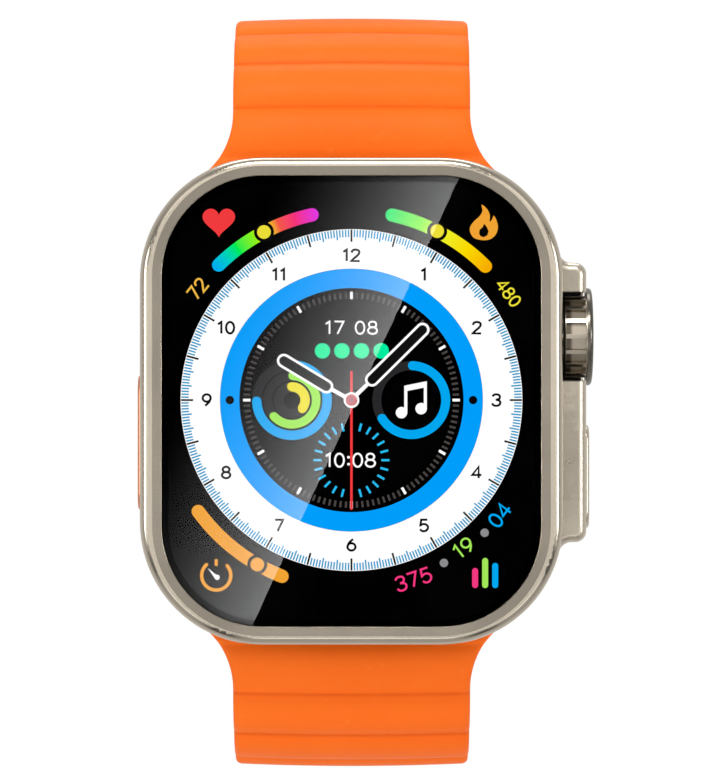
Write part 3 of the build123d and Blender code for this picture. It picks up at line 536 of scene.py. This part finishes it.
def strap_mesh(name, half, s0, s1):
    end_s = FIRST + PITCH * half["ribs"]
    stations = []
    count = int(round((s1 - s0) / 0.25))
    for i in range(count + 1):
        stations.append(s0 + (s1 - s0) * i / count)
    if s1 == end_s:
        stations = [s for s in stations if s < end_s - 0.9]
        stations += [end_s - 0.9 + 0.9 * sin(QUARTER * k / 7) for k in range(8)]
    verts, faces, rises = [], [], []
    for s in stations:
        ring = strap_section(half, s, end_s)
        for x, out in ring:
            y, z = strap_point(half, s, out)
            verts.append((x * MM, y * MM, z * MM))
            rises.append(rise_at(s, out))
    m = len(strap_section(half, stations[0], end_s))
    for i in range(len(stations) - 1):
        for k in range(m):
            a, b = i * m + k, i * m + (k + 1) % m
            faces.append((a, b, b + m, a + m))
    faces.append(tuple(reversed(range(m))))
    faces.append(tuple(range((len(stations) - 1) * m, len(stations) * m)))
    mesh = bpy.data.meshes.new(name)
    mesh.from_pydata(verts, [], faces)
    bm = bmesh.new()
    bm.from_mesh(mesh)
    bmesh.ops.recalc_face_normals(bm, faces=bm.faces)
    bm.to_mesh(mesh)
    bm.free()
    mesh.attributes.new("rise", "FLOAT", "POINT").data.foreach_set("value", rises)
    return mesh


def strap_half(label, half):
    end_s = FIRST + PITCH * half["ribs"]
    cuts = [-1.4, FIRST + 2 * PITCH, FIRST + 5 * PITCH, FIRST + 9 * PITCH, end_s]
    hinges = [FIRST, FIRST + 3 * PITCH, FIRST + 7 * PITCH, FIRST + 11 * PITCH]
    for k in range(4):
        name = f"{label}_silicone_{k + 1}"
        mesh = strap_mesh(name, half, cuts[k], cuts[k + 1])
        obj = add_object(name, mesh, MATS["silicone"], smooth_angle=50)
        reach = 4.4
        before = strap_point(half, hinges[k] - reach, -BASE_T / 2)
        after = strap_point(half, hinges[k] + reach, -BASE_T / 2)
        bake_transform(obj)
        nodes = [f"{label}_strap_{k + 1}"] + ([f"{label}_strap_collar"] if k == 0 else [])
        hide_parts(*nodes)


strap_half("upper", UPPER)
strap_half("lower", LOWER)

# ------------------------------------------------------------------ lit dial
panel_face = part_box("display_panel")[0].y
DIAL_Z = 0.1


def curve_through(points, closed=False, steps=6):
    """Smooth line through the points (Catmull-Rom)."""
    pts = [Vector(p) for p in points]
    n = len(pts)
    out = []
    for i in range(n if closed else n - 1):
        q = [pts[(i + k - 1) % n] if closed else pts[min(max(i + k - 1, 0), n - 1)] for k in range(4)]
        for k in range(steps):
            t = k / steps
            bend = 2 * q[0] - 5 * q[1] + 4 * q[2] - q[3]
            out.append(0.5 * ((2 * q[1]) + (q[2] - q[0]) * t + bend * t * t
                              + (3 * q[1] - q[0] - 3 * q[2] + q[3]) * t ** 3))
    if not closed:
        out.append(pts[-1])
    return [tuple(p) for p in out]


def oval(x, z, rx, rz, steps=28):
    return [(x + rx * sin(2 * pi * i / steps), z + rz * cos(2 * pi * i / steps)) for i in range(steps)]


# digit shapes: (closed, points), x centred on the digit, z from 0 to 1
GLYPHS = {
    "0": ((True, oval(0, 0.5, 0.26, 0.5)),),
    "1": ((False, ((-0.16, 0.80), (0.06, 1.0), (0.06, 0.0))),),
    "2": ((False, curve_through((
        (-0.26, 0.74), (-0.18, 0.93), (0.01, 1.0), (0.2, 0.92), (0.25, 0.73), (0.14, 0.5),
        (-0.08, 0.25), (-0.27, 0.0))) + [(0.28, 0.0)]),),
    "3": ((False, curve_through((
        (-0.24, 0.82), (-0.14, 0.96), (0.02, 1.0), (0.19, 0.93), (0.24, 0.76), (0.17, 0.59),
        (-0.03, 0.53)))),
          (False, curve_through((
              (-0.03, 0.53), (0.18, 0.47), (0.27, 0.28), (0.19, 0.07), (0.0, 0.0), (-0.18, 0.06),
              (-0.27, 0.22))))),
    "4": ((False, ((0.12, 0.0), (0.12, 1.0), (-0.3, 0.28), (0.3, 0.28))),),
    "5": ((False, [(0.23, 1.0), (-0.17, 1.0)] + curve_through((
        (-0.22, 0.52), (-0.04, 0.62), (0.14, 0.58), (0.26, 0.42), (0.25, 0.2), (0.1, 0.02), (-0.1, 0.01),
        (-0.25, 0.16)))),),
    "6": ((True, oval(0.0, 0.32, 0.26, 0.32)),
          (False, curve_through(((-0.25, 0.36), (-0.15, 0.68), (0.1, 1.0))))),
    "7": ((False, ((-0.27, 1.0), (0.26, 1.0), (-0.1, 0.0))),),
    "8": ((True, oval(0, 0.76, 0.22, 0.24)), (True, oval(0, 0.27, 0.27, 0.27))),
    "9": ((True, oval(0.0, 0.68, 0.26, 0.32)),
          (False, curve_through(((0.25, 0.64), (0.15, 0.32), (-0.1, 0.0))))),
    ":": ((True, oval(0, 0.2, 0.03, 0.03, 10)), (True, oval(0, 0.72, 0.03, 0.03, 10))),
    " ": (),
}


# in mm: the first layer's lift off the panel, the step from layer to layer, and a plate's thickness
FIRST_LIFT, LAYER_STEP, PLATE_T = 0.006, 0.009, 0.005
# in mm: how far the printed border's front and back stand off the panel
BORDER_FRONT, BORDER_BACK = 0.04, 0.01
ADVANCE, NARROW_ADVANCE = 0.74, {"1": 0.52, ":": 0.32, " ": 0.5}


def rounded_outline(w, h, r):
    """Points of a rounded rectangle about the origin, clockwise."""
    steps = 24
    points = []
    for k, (sx, sz) in enumerate(((1, 1), (1, -1), (-1, -1), (-1, 1))):
        for i in range(steps + 1):
            a = QUARTER * (k + i / steps)
            points.append((sx * (w / 2 - r) + r * sin(a), sz * (h / 2 - r) + r * cos(a)))
    return points


def capsule_points(p, q, r):
    """Outline of the round-ended bar from p to q, as vectors."""
    sides = 16
    d = (q - p).normalized()
    base = atan2(d.x, d.y)
    points = []
    for end, start in ((q, -QUARTER), (p, QUARTER)):
        for k in range(sides + 1):
            t = pi * k / sides + start
            points.append(end + Vector((sin(base + t), cos(base + t))) * r)
    return points


class Art:
    """Flat lit shapes of one colour, in mm on the dial: x to the right, z up, closed thin plates."""

    def __init__(self, name, material, layer):
        self.name, self.material = name, material
        self.bm = bmesh.new()
        self.front = panel_face - (FIRST_LIFT + LAYER_STEP * layer) * MM
        self.back = self.front + PLATE_T * MM

    def loop(self, points, y):
        return [self.bm.verts.new((x * MM, y, z * MM)) for x, z in points]

    def walls(self, loops, closed=True):
        """Faces between matching loops, each joined to the next and the last to the first."""
        count = len(loops[0])
        for a, b in zip(loops, loops[1:] + loops[:1]):
            for i in range(count if closed else count - 1):
                j = (i + 1) % count
                self.bm.faces.new((a[i], a[j], b[j], b[i]))

    def band(self, inner, outer, front, back):
        """A closed strip between two outlines with as many points."""
        self.walls([self.loop(inner, front), self.loop(outer, front),
                    self.loop(outer, back), self.loop(inner, back)])

    def plate(self, points):
        """A closed thin plate with the given outline, listed either way round."""
        area = sum(a[0] * b[1] - b[0] * a[1] for a, b in zip(points, points[1:] + points[:1]))
        if area < 0:
            points = points[::-1]
        front, rear = self.loop(points, self.front), self.loop(points, self.back)
        self.bm.faces.new(front)
        self.bm.faces.new(rear[::-1])
        for i in range(len(points)):
            j = (i + 1) % len(points)
            self.bm.faces.new((front[j], front[i], rear[i], rear[j]))

    def ring(self, cx, cz, r0, r1, sides=180):
        """A whole ring between radii r0 and r1."""
        self.band(oval(cx, cz, r0, r0, sides), oval(cx, cz, r1, r1, sides), self.front, self.back)

    def frame(self, outer, inner):
        """A rounded frame between two (width, height, corner radius) outlines about the case's middle."""
        self.band(rounded_outline(*inner), rounded_outline(*outer),
                  panel_face - BORDER_FRONT * MM, panel_face - BORDER_BACK * MM)

    def disc(self, cx, cz, r, sides=48):
        self.plate(oval(cx, cz, r, r, sides))

    def arc(self, cx, cz, r0, r1, a0, a1):
        """Part of a ring, clockwise angles in degrees from 12 o'clock, with round ends."""
        steps, cap_steps = 60, 12
        mid, half = (r0 + r1) / 2, (r1 - r0) / 2

        def at(a, r):
            return cx + r * sin(radians(a)), cz + r * cos(radians(a))

        pts = [at(a0 + (a1 - a0) * i / steps, r1) for i in range(steps + 1)]
        for k in range(1, cap_steps):
            t = pi * k / cap_steps
            pts.append(at(a1 + degrees(half / mid) * sin(t), mid + half * cos(t)))
        pts += [at(a1 + (a0 - a1) * i / steps, r0) for i in range(steps + 1)]
        for k in range(1, cap_steps):
            t = pi * k / cap_steps
            pts.append(at(a0 - degrees(half / mid) * sin(t), mid - half * cos(t)))
        self.plate(pts)

    def tick(self, cx, cz, angle, r0, r1, width):
        """A radial bar."""
        a = radians(angle)
        d, side = Vector((sin(a), cos(a))), Vector((cos(a), -sin(a)))
        c = Vector((cx, cz))
        corners = [c + d * r0 - side * width / 2, c + d * r1 - side * width / 2,
                   c + d * r1 + side * width / 2, c + d * r0 + side * width / 2]
        self.plate(corners)

    def capsule(self, p, q, r):
        self.plate(capsule_points(Vector(p), Vector(q), r))

    def capsule_outline(self, p, q, r, w):
        """A hollow capsule: the outline of a hand."""
        self.band(capsule_points(p, q, r - w), capsule_points(p, q, r), self.front, self.back)

    def stroke(self, points, width, closed=False):
        """A line of even width along the points, as one closed thin plate (two rings when closed)."""
        pts = [Vector(p) for p in points]
        n = len(pts)
        sides = ([], [])
        for i, p in enumerate(pts):
            before = pts[i - 1] if closed or i else p
            after = pts[(i + 1) % n] if closed or i < n - 1 else p
            d1 = (p - before).normalized() if p != before else (after - p).normalized()
            d2 = (after - p).normalized() if p != after else d1
            n1, n2 = Vector((-d1.y, d1.x)), Vector((-d2.y, d2.x))
            mid = (n1 + n2).normalized()
            reach = width / 2 / max(0.5, mid.dot(n1))
            sides[0].append(p + mid * reach)
            sides[1].append(p - mid * reach)
        loops = [self.loop(sides[0], self.front), self.loop(sides[1], self.front),
                 self.loop(sides[1], self.back), self.loop(sides[0], self.back)]
        self.walls(loops, closed)
        if not closed:
            self.bm.faces.new([loop[0] for loop in loops])
            self.bm.faces.new([loop[-1] for loop in loops][::-1])

    def text(self, words, cx, cz, height, turn=0.0, weight=0.13, stretch=1.0):
        """Digits centred on a point, turned clockwise, drawn as even strokes."""
        total = sum(NARROW_ADVANCE.get(c, ADVANCE) for c in words)
        a = radians(turn)
        at = -total / 2
        for c in words:
            step = NARROW_ADVANCE.get(c, ADVANCE)
            for closed, points in GLYPHS[c]:
                placed = []
                for gx, gz in points:
                    u = (at + step / 2 + gx) * height * stretch
                    v = (gz * (1 - weight) + weight / 2 - 0.5) * height
                    placed.append((cx + u * cos(a) + v * sin(a), cz - u * sin(a) + v * cos(a)))
                self.stroke(placed, weight * height, closed)
            at += step

    def finish(self):
        bmesh.ops.remove_doubles(self.bm, verts=self.bm.verts, dist=1e-9)
        bmesh.ops.recalc_face_normals(self.bm, faces=self.bm.faces)
        mesh = bpy.data.meshes.new(self.name)
        self.bm.to_mesh(mesh)
        self.bm.free()
        return add_object(self.name, mesh, self.material, body="case")


WHITE = light_ink("ink_white", (1.0, 1.0, 1.0), 1.06)
BLUE = light_ink("ink_blue", (0.0, 0.352, 1.0))
TICK_BLUE = light_ink("ink_tick_blue", (0.03, 0.33, 0.60))
SKY = light_ink("ink_sky", (0.02, 0.50, 0.86))
BLACK = light_ink("ink_black", (0.004, 0.004, 0.004), 0.5)
BORDER = plastic("border_print", (0.0004, 0.0004, 0.0004), 0.5, strength=0.01, specular=0.0)
GREY = light_ink("ink_grey", (0.30, 0.30, 0.31), 0.9)
FAINT = light_ink("ink_faint", (0.065, 0.057, 0.055))
TRACK = light_ink("ink_track", (0.022, 0.022, 0.024))
HAND_CORE = light_ink("ink_hand_core", (0.006, 0.006, 0.006))
CAP_RED = light_ink("ink_cap_red", (0.55, 0.11, 0.13))
CAP_DARK = light_ink("ink_cap_dark", (0.30, 0.12, 0.13))
GREEN = light_ink("ink_green", (0.0, 0.86, 0.36))
LIME = light_ink("ink_lime", (0.37, 0.82, 0.10))
YELLOW = light_ink("ink_yellow", (0.87, 0.76, 0.04))
ORANGE = light_ink("ink_orange", (0.90, 0.38, 0.035))
AMBER = light_ink("ink_amber", (0.87, 0.50, 0.06))
RED = light_ink("ink_red", (0.90, 0.045, 0.05))
PINK = light_ink("ink_pink", (0.93, 0.04, 0.22))
AZURE = light_ink("ink_azure", (0.0, 0.40, 0.90))

art = Art("glass_border_print", BORDER, 0)
art.frame((37.5, 44.6, 10.0), (35.7, 42.9, 9.2))
art.finish()
art = Art("dial_minute_ring", WHITE, 0)
art.ring(0, DIAL_Z, 13.08, 17.0, 360)
art.finish()
art = Art("dial_blue_ring", BLUE, 0)
art.ring(0, DIAL_Z, 11.15, 13.06, 360)
art.finish()

art = Art("dial_minute_ticks", TICK_BLUE, 1)
for i in range(360):
    if i % 15:
        art.tick(0, DIAL_Z, i, 15.95 if i % 5 == 0 else 16.2, 16.94, 0.15)
art.finish()
art = Art("dial_hour_ticks", BLACK, 1)
for i in range(24):
    art.tick(0, DIAL_Z, 15 * i, 15.75, 16.96, 0.19)
art.disc(-12.1, DIAL_Z, 0.42)
art.disc(12.1, DIAL_Z, 0.42)
art.finish()
art = Art("dial_hour_numerals", BLACK, 1)
for hour in range(1, 13):
    a = radians(30 * hour)
    art.text(str(hour), 14.4 * sin(a), DIAL_Z + 14.4 * cos(a), 1.36, weight=0.165, stretch=1.12)
art.finish()

art = Art("dial_inner_ticks", FAINT, 0)
for i in range(120):
    if i % 10:
        art.tick(0, DIAL_Z, 3 * i, 10.1, 10.72, 0.22)
art.finish()
art = Art("dial_inner_hour_ticks", WHITE, 0)
for i in range(12):
    art.tick(0, DIAL_Z, 30 * i, 10.05, 10.78, 0.27)
art.finish()

art = Art("dial_top_digits", WHITE, 1)
art.text("17 08", 0, 7.3, 1.4, weight=0.12, stretch=1.2)
art.finish()
art = Art("dial_green_dots", GREEN, 1)
for x in (-2.88, -0.95, 1.0, 2.95):
    art.disc(x, 5.0, 0.77)
art.finish()

LEFT, RIGHT = -5.92, 5.95
art = Art("dial_gauge_tracks", TRACK, 0)
for r0, r1 in ((2.98, 3.97), (1.95, 2.86), (0.82, 1.82)):
    art.ring(LEFT, DIAL_Z, r0, r1, 96)
art.ring(RIGHT, DIAL_Z, 2.98, 3.87, 96)
art.finish()
art = Art("dial_gauge_blue", AZURE, 1)
art.arc(LEFT, DIAL_Z, 3.04, 3.97, 12, 268)
art.arc(RIGHT, DIAL_Z, 2.98, 3.87, 2, 238)
art.finish()
art = Art("dial_gauge_lime", LIME, 1)
art.arc(LEFT, DIAL_Z, 1.98, 2.84, 2, 228)
art.finish()
art = Art("dial_gauge_yellow", YELLOW, 1)
art.arc(LEFT, DIAL_Z, 0.84, 1.78, 0, 128)
art.finish()

art = Art("dial_note_icon", WHITE, 2)
art.disc(4.98, -1.15, 0.57, 32)
art.disc(6.93, -0.75, 0.57, 32)
art.plate([(5.25, -1.15), (5.56, -1.15), (5.56, 1.5), (5.25, 1.44)])
art.plate([(7.2, -0.75), (7.5, -0.75), (7.5, 1.86), (7.2, 1.8)])
art.plate([(5.25, 0.95), (7.5, 1.4), (7.5, 1.98), (5.25, 1.53)])
art.finish()

art = Art("dial_ring_ticks", SKY, 1)
for i in range(24):
    art.tick(0, -5.88, 15 * i, 2.98, 3.78, 0.22)
art.finish()
art = Art("dial_time_digits", WHITE, 3)
art.text("10:08", -0.1, -5.88, 1.5, weight=0.125, stretch=1.14)
art.finish()

# hands
for name, tip, root, stem_root in (
    ("hour", (-6.72, 4.01), (-2.5, 1.46), (-0.4, 0.3)),
    ("minute", (7.07, 7.1), (2.05, 2.14), (0.3, 0.42)),
):
    tip, root, stem_root = Vector(tip), Vector(root), Vector(stem_root)
    art = Art(f"dial_{name}_hand_core", HAND_CORE, 4)
    art.capsule(tip, root, 0.5)
    art.finish()
    art = Art(f"dial_{name}_hand", WHITE, 5)
    art.capsule_outline(tip, root, 0.7, 0.24)
    art.capsule(root + (stem_root - root).normalized() * 0.62, stem_root, 0.19)
    art.finish()
art = Art("dial_second_hand", RED, 6)
art.capsule((0, 2.88), (0, -10.7), 0.12)
art.finish()
art = Art("dial_cap", WHITE, 7)
art.disc(0, DIAL_Z, 0.78)
art.finish()
art = Art("dial_cap_ring", CAP_RED, 8)
art.disc(0, DIAL_Z, 0.58)
art.finish()
art = Art("dial_cap_centre", CAP_DARK, 9)
art.disc(0, DIAL_Z, 0.2, 24)
art.finish()

# gauges in the four corners
TOP_LEFT = light_ink_along_arc("ink_arc_top_left", (
    (0.0, (0.0, 0.42, 0.90)), (0.12, (0.0, 0.60, 0.60)), (0.26, (0.0, 0.85, 0.07)),
    (0.42, (0.25, 0.90, 0.01)), (0.54, (0.88, 0.80, 0.0)), (0.66, (0.93, 0.10, 0.06)),
    (0.80, (0.93, 0.03, 0.18)), (1.0, (0.75, 0.03, 0.75))),
    -46, -10.5, DIAL_Z * MM)
TOP_RIGHT = light_ink_along_arc("ink_arc_top_right", (
    (0.0, (0.02, 0.80, 0.20)), (0.3, (0.25, 0.85, 0.06)), (0.52, (0.85, 0.90, 0.02)),
    (0.75, (0.97, 0.72, 0.0)), (1.0, (0.95, 0.42, 0.0))), 11, 46, DIAL_Z * MM)
for name, ink, a0, a1, bead in (
    ("gauge_top_left", TOP_LEFT, -44.5, -12.0, -27.5),
    ("gauge_top_right", TOP_RIGHT, 12.4, 45.0, 26.9),
    ("gauge_bottom_left", ORANGE, -158.5, -126.0, -150.2),
):
    art = Art(name, ink, 0)
    art.arc(0, DIAL_Z, 18.18, 19.5, a0, a1)
    art.finish()
    x, z = 18.85 * sin(radians(bead)), DIAL_Z + 18.85 * cos(radians(bead))
    art = Art(name + "_bead_edge", BLACK, 1)
    art.disc(x, z, 1.0)
    art.finish()
    art = Art(name + "_bead", ORANGE if "bottom" in name else YELLOW, 2)
    art.disc(x, z, 0.68)
    art.finish()

art = Art("icon_heart", RED, 0)
hx, hz = -13.19, 17.95
pts = []
for i in range(60):
    t = 2 * pi * i / 60
    rise = 13 * cos(t) - 5 * cos(2 * t) - 2 * cos(3 * t) - cos(4 * t)
    pts.append((hx + 1.62 * sin(t) ** 3, hz + 0.1 * rise))
art.plate(pts)
art.finish()

art = Art("icon_flame", ORANGE, 0)
fx, fz = 13.15, 17.75
flame = ((0.0, -1.75), (0.75, -1.6), (1.25, -1.1), (1.42, -0.4), (1.25, 0.3), (1.0, 0.7), (0.85, 0.35),
         (0.6, 0.1), (0.62, 0.75), (0.35, 1.35), (-0.2, 1.8), (-0.12, 1.2), (-0.4, 0.65), (-0.95, 0.15),
         (-1.35, -0.45), (-1.3, -1.05), (-0.9, -1.55))
art.plate([(fx + a, fz + b) for a, b in curve_through(flame, closed=True, steps=4)])
art.finish()
art = Art("icon_flame_core", BLACK, 1)
core = ((0.0, -1.45), (0.38, -1.25), (0.5, -0.85), (0.3, -0.4), (0.05, -0.1), (-0.1, -0.45), (-0.4, -0.7),
        (-0.45, -1.1), (-0.3, -1.35))
art.plate([(fx + a, fz + b) for a, b in core])
art.finish()

art = Art("icon_timer", ORANGE, 0)
tx, tz = -13.45, -17.35
art.arc(tx, tz, 1.28, 1.62, 48, 318)
art.tick(tx, tz, 0, 0.95, 1.62, 0.3)
art.finish()
art = Art("icon_timer_needle", WHITE, 1)
art.plate([(tx - 0.85, tz + 0.75), (tx + 0.22, tz - 0.12), (tx - 0.12, tz - 0.3)])
art.disc(tx + 0.08, tz - 0.18, 0.26)
art.finish()

for name, ink, x, top in (
    ("icon_bars_pink", PINK, 12.3, -16.9), ("icon_bars_lime", LIME, 13.3, -15.9),
    ("icon_bars_blue", AZURE, 14.3, -16.4),
):
    art = Art(name, ink, 0)
    art.capsule((x, -18.3), (x, top), 0.3)
    art.finish()

art = Art("label_heart_rate", AMBER, 0)
art.text("72", -15.3, 11.15, 1.5, turn=-52, weight=0.13)
art.finish()
art = Art("label_energy", YELLOW, 0)
art.text("480", 15.65, 10.75, 1.35, turn=53, weight=0.13)
art.finish()
for name, ink, words, x, z, turn in (
    ("label_pink", PINK, "375", 6.15, -17.75, -18.5), ("label_lime", LIME, "19", 11.15, -14.6, -37.0),
    ("label_blue", AZURE, "04", 14.75, -11.35, -52.5),
):
    art = Art(name, ink, 0)
    art.text(words, x, z, 1.6, turn=turn, weight=0.125, stretch=1.1)
    art.finish()
art = Art("label_dots", GREY, 0)
art.disc(9.2, -16.1, 0.42, 24)
art.disc(13.25, -13.1, 0.42, 24)
art.finish()

# ------------------------------------------------------------------ floor, light and camera
lo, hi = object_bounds()
FLOOR_DROP = 0.038  # room for the lower strap half to swing open
FLOOR_Y = 0.02
floor_z = lo.z - FLOOR_DROP
bm = bmesh.new()
sides = 96
loops = [[bm.verts.new((x, y, floor_z)) for x, y in oval(0, FLOOR_Y, r, r, sides)]
         for r in (0.03, 0.06, 0.1, 0.15, 0.2, 0.24)]
centre = bm.verts.new((0, FLOOR_Y, floor_z))
for i in range(sides):
    bm.faces.new((centre, loops[0][(i + 1) % sides], loops[0][i]))
for a, b in zip(loops, loops[1:]):
    for i in range(sides):
        j = (i + 1) % sides
        bm.faces.new((a[i], a[j], b[j], b[i]))
bmesh.ops.recalc_face_normals(bm, faces=bm.faces)
mesh = bpy.data.meshes.new("floor")
bm.to_mesh(mesh)
bm.free()
m, n, l, p = new_material("floor_pale")
v = coords(n, l)
length = n.new("ShaderNodeVectorMath")
length.operation = "LENGTH"
l.new(v, length.inputs[0])
far = remap(n, l, length.outputs["Value"], 0.06, 0.15, 0, 1, True)
l.new(mix_colour(n, l, far, (0.46, 0.46, 0.46), (0, 0, 0)), p.inputs["Base Color"])
l.new(remap(n, l, far, 0, 1, 0.36, 1.0), p.inputs["Emission Strength"])
l.new(mix_colour(n, l, noise(n, l, v, 30, 2), (1, 1, 1), (0.99, 0.99, 0.99)), p.inputs["Emission Color"])
p.inputs["Roughness"].default_value = 0.8
p.inputs["Specular IOR Level"].default_value = 0.0
floor = add_object("floor", mesh, m)
floor.visible_glossy = False
floor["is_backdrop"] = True

world = bpy.data.worlds.new("studio")
scene.world = world
world.use_nodes = True
wn, wl = world.node_tree.nodes, world.node_tree.links
wn.clear()
out = wn.new("ShaderNodeOutputWorld")
tc = wn.new("ShaderNodeTexCoord")
sep = wn.new("ShaderNodeSeparateXYZ")
wl.new(tc.outputs["Generated"], sep.inputs[0])
front = math_node(wn, wl, "MULTIPLY", sep.outputs["Y"], -1.0)
rings = colour_ramp(wn, wl, remap(wn, wl, front, -1, 1, 0, 1), (
    (0.0, 0.75), (0.45, 0.66), (0.60, 0.46), (0.76, 0.46), (0.92, 0.50), (0.95, 1.7), (0.984, 1.7),
    (0.990, 0.5), (0.9955, 0.0)))
x2 = math_node(wn, wl, "POWER", sep.outputs["X"], 2.0)
z2 = math_node(wn, wl, "POWER", sep.outputs["Z"], 2.0)
product = math_node(wn, wl, "ABSOLUTE", math_node(wn, wl, "MULTIPLY", sep.outputs["X"], sep.outputs["Z"]))
slant = math_node(wn, wl, "DIVIDE", math_node(wn, wl, "MULTIPLY", product, 2.0),
                  math_node(wn, wl, "ADD", math_node(wn, wl, "ADD", x2, z2), 0.0001))
streak = colour_ramp(wn, wl, slant, (
    (0.0, 0.0), (0.40, 0.0), (0.56, 1.0), (0.80, 1.0), (0.90, 0.0), (1.0, 0.0)))
dark = math_node(wn, wl, "MULTIPLY", streak, remap(wn, wl, front, 0.42, 0.55, 0, 1, True))
studio = mix_colour(wn, wl, dark, rings, (0.02, 0.018, 0.015))
lift = remap(wn, wl, sep.outputs["Z"], -1, 1, 1.1, 1.0)
room = wn.new("ShaderNodeBackground")
wl.new(studio, room.inputs["Color"])
wl.new(lift, room.inputs["Strength"])
white = wn.new("ShaderNodeBackground")
white.inputs["Color"].default_value = (1, 1, 1, 1)
path = wn.new("ShaderNodeLightPath")
pick = wn.new("ShaderNodeMixShader")
wl.new(path.outputs["Is Camera Ray"], pick.inputs["Fac"])
wl.new(room.outputs["Background"], pick.inputs[1])
wl.new(white.outputs["Background"], pick.inputs[2])
wl.new(pick.outputs["Shader"], out.inputs["Surface"])


def area(name, place, aim, size, power, colour=(1, 1, 1)):
    data = bpy.data.lights.new(name, "AREA")
    data.shape = "RECTANGLE"
    data.size, data.size_y = size
    data.energy = power
    data.color = colour
    obj = bpy.data.objects.new(name, data)
    obj.location = place
    obj.rotation_euler = (Vector(aim) - Vector(place)).to_track_quat("-Z", "Y").to_euler()
    obj.visible_camera = False
    scene.collection.objects.link(obj)


area("key_top", (0.0, -0.62, 0.58), (0, 0, 0), (0.3, 0.16), 3.0, (1, 0.985, 0.96))
area("top_back", (0.0, 0.25, 0.75), (0, 0.01, 0), (0.6, 0.3), 1.6)
area("fill_left", (-0.62, -0.6, 0.05), (0, 0, 0), (0.16, 0.28), 1.5)
area("fill_right", (0.62, -0.6, 0.05), (0, 0, 0), (0.16, 0.28), 1.5)

cam_data = bpy.data.cameras.new("camera")
camera = bpy.data.objects.new("camera", cam_data)
scene.collection.objects.link(camera)
scene.camera = camera
DISTANCE, VIEW_WIDTH, SENSOR = 0.4, 0.0764, 36
glass_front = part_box("cover_glass")[0].y
camera.location = (0.0009, glass_front - DISTANCE, 0.0016)
camera.rotation_euler = (QUARTER, 0, 0)
cam_data.sensor_width = SENSOR
cam_data.lens = SENSOR * DISTANCE / VIEW_WIDTH
cam_data.clip_start, cam_data.clip_end = 0.01, 20
scene.view_settings.view_transform = "Standard"

# soft card behind the camera whose slanted edge shows as the sheen across the flat glass
CARD_BACK, CARD_CELLS = 0.9, 16
SHEEN_LEAN, SHEEN_FADE, SHEEN_FALLOFF, SHEEN_POWER = 0.462, 0.061, 2.5, 7.7
k = 1 + CARD_BACK / DISTANCE


def card_point(x, z):
    return (camera.location.x + (x * MM - camera.location.x) * k, glass_front - CARD_BACK,
            camera.location.z + (z * MM - camera.location.z) * k)


outline = ((10.8, 22.4), (-9.9, -22.4), (-19.0, -22.4), (-19.0, 22.4))
rows = []
for t in [i / CARD_CELLS for i in range(CARD_CELLS + 1)]:
    a = Vector(card_point(*(Vector(outline[1]) + (Vector(outline[0]) - Vector(outline[1])) * t)))
    b = Vector(card_point(*(Vector(outline[2]) + (Vector(outline[3]) - Vector(outline[2])) * t)))
    rows.append([a + (b - a) * (u / CARD_CELLS) for u in range(CARD_CELLS + 1)])
mesh = bpy.data.meshes.new("sheen_card")
verts = [tuple(v) for row in rows for v in row]
stride = CARD_CELLS + 1
corners = [r * stride + c for r in range(CARD_CELLS) for c in range(CARD_CELLS)]
faces = [(i, i + 1, i + stride + 1, i + stride) for i in corners]
mesh.from_pydata(verts, [], faces)
m = bpy.data.materials.new("sheen_card")
m.use_nodes = True
n, l = m.node_tree.nodes, m.node_tree.links
n.clear()
o = n.new("ShaderNodeOutputMaterial")
e = n.new("ShaderNodeEmission")
tc = n.new("ShaderNodeTexCoord")
sep = n.new("ShaderNodeSeparateXYZ")
l.new(tc.outputs["Object"], sep.inputs[0])
lean = math_node(n, l, "MULTIPLY", sep.outputs["Z"], SHEEN_LEAN)
slope = math_node(n, l, "SUBTRACT", sep.outputs["X"], lean)
edge = card_point(*outline[0])
offset = edge[0] - edge[2] * SHEEN_LEAN
ramp = remap(n, l, slope, offset - SHEEN_FADE, offset, 0.0, 1.0)
glow = math_node(n, l, "POWER", ramp, SHEEN_FALLOFF)
l.new(math_node(n, l, "MULTIPLY", glow, SHEEN_POWER), e.inputs["Strength"])
l.new(e.outputs[0], o.inputs["Surface"])
card = add_object("sheen_card", mesh, m)
card.visible_camera = False
card.visible_diffuse = False
card.visible_shadow = False
card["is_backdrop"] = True

bpy.context.view_layer.update()
lo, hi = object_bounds()
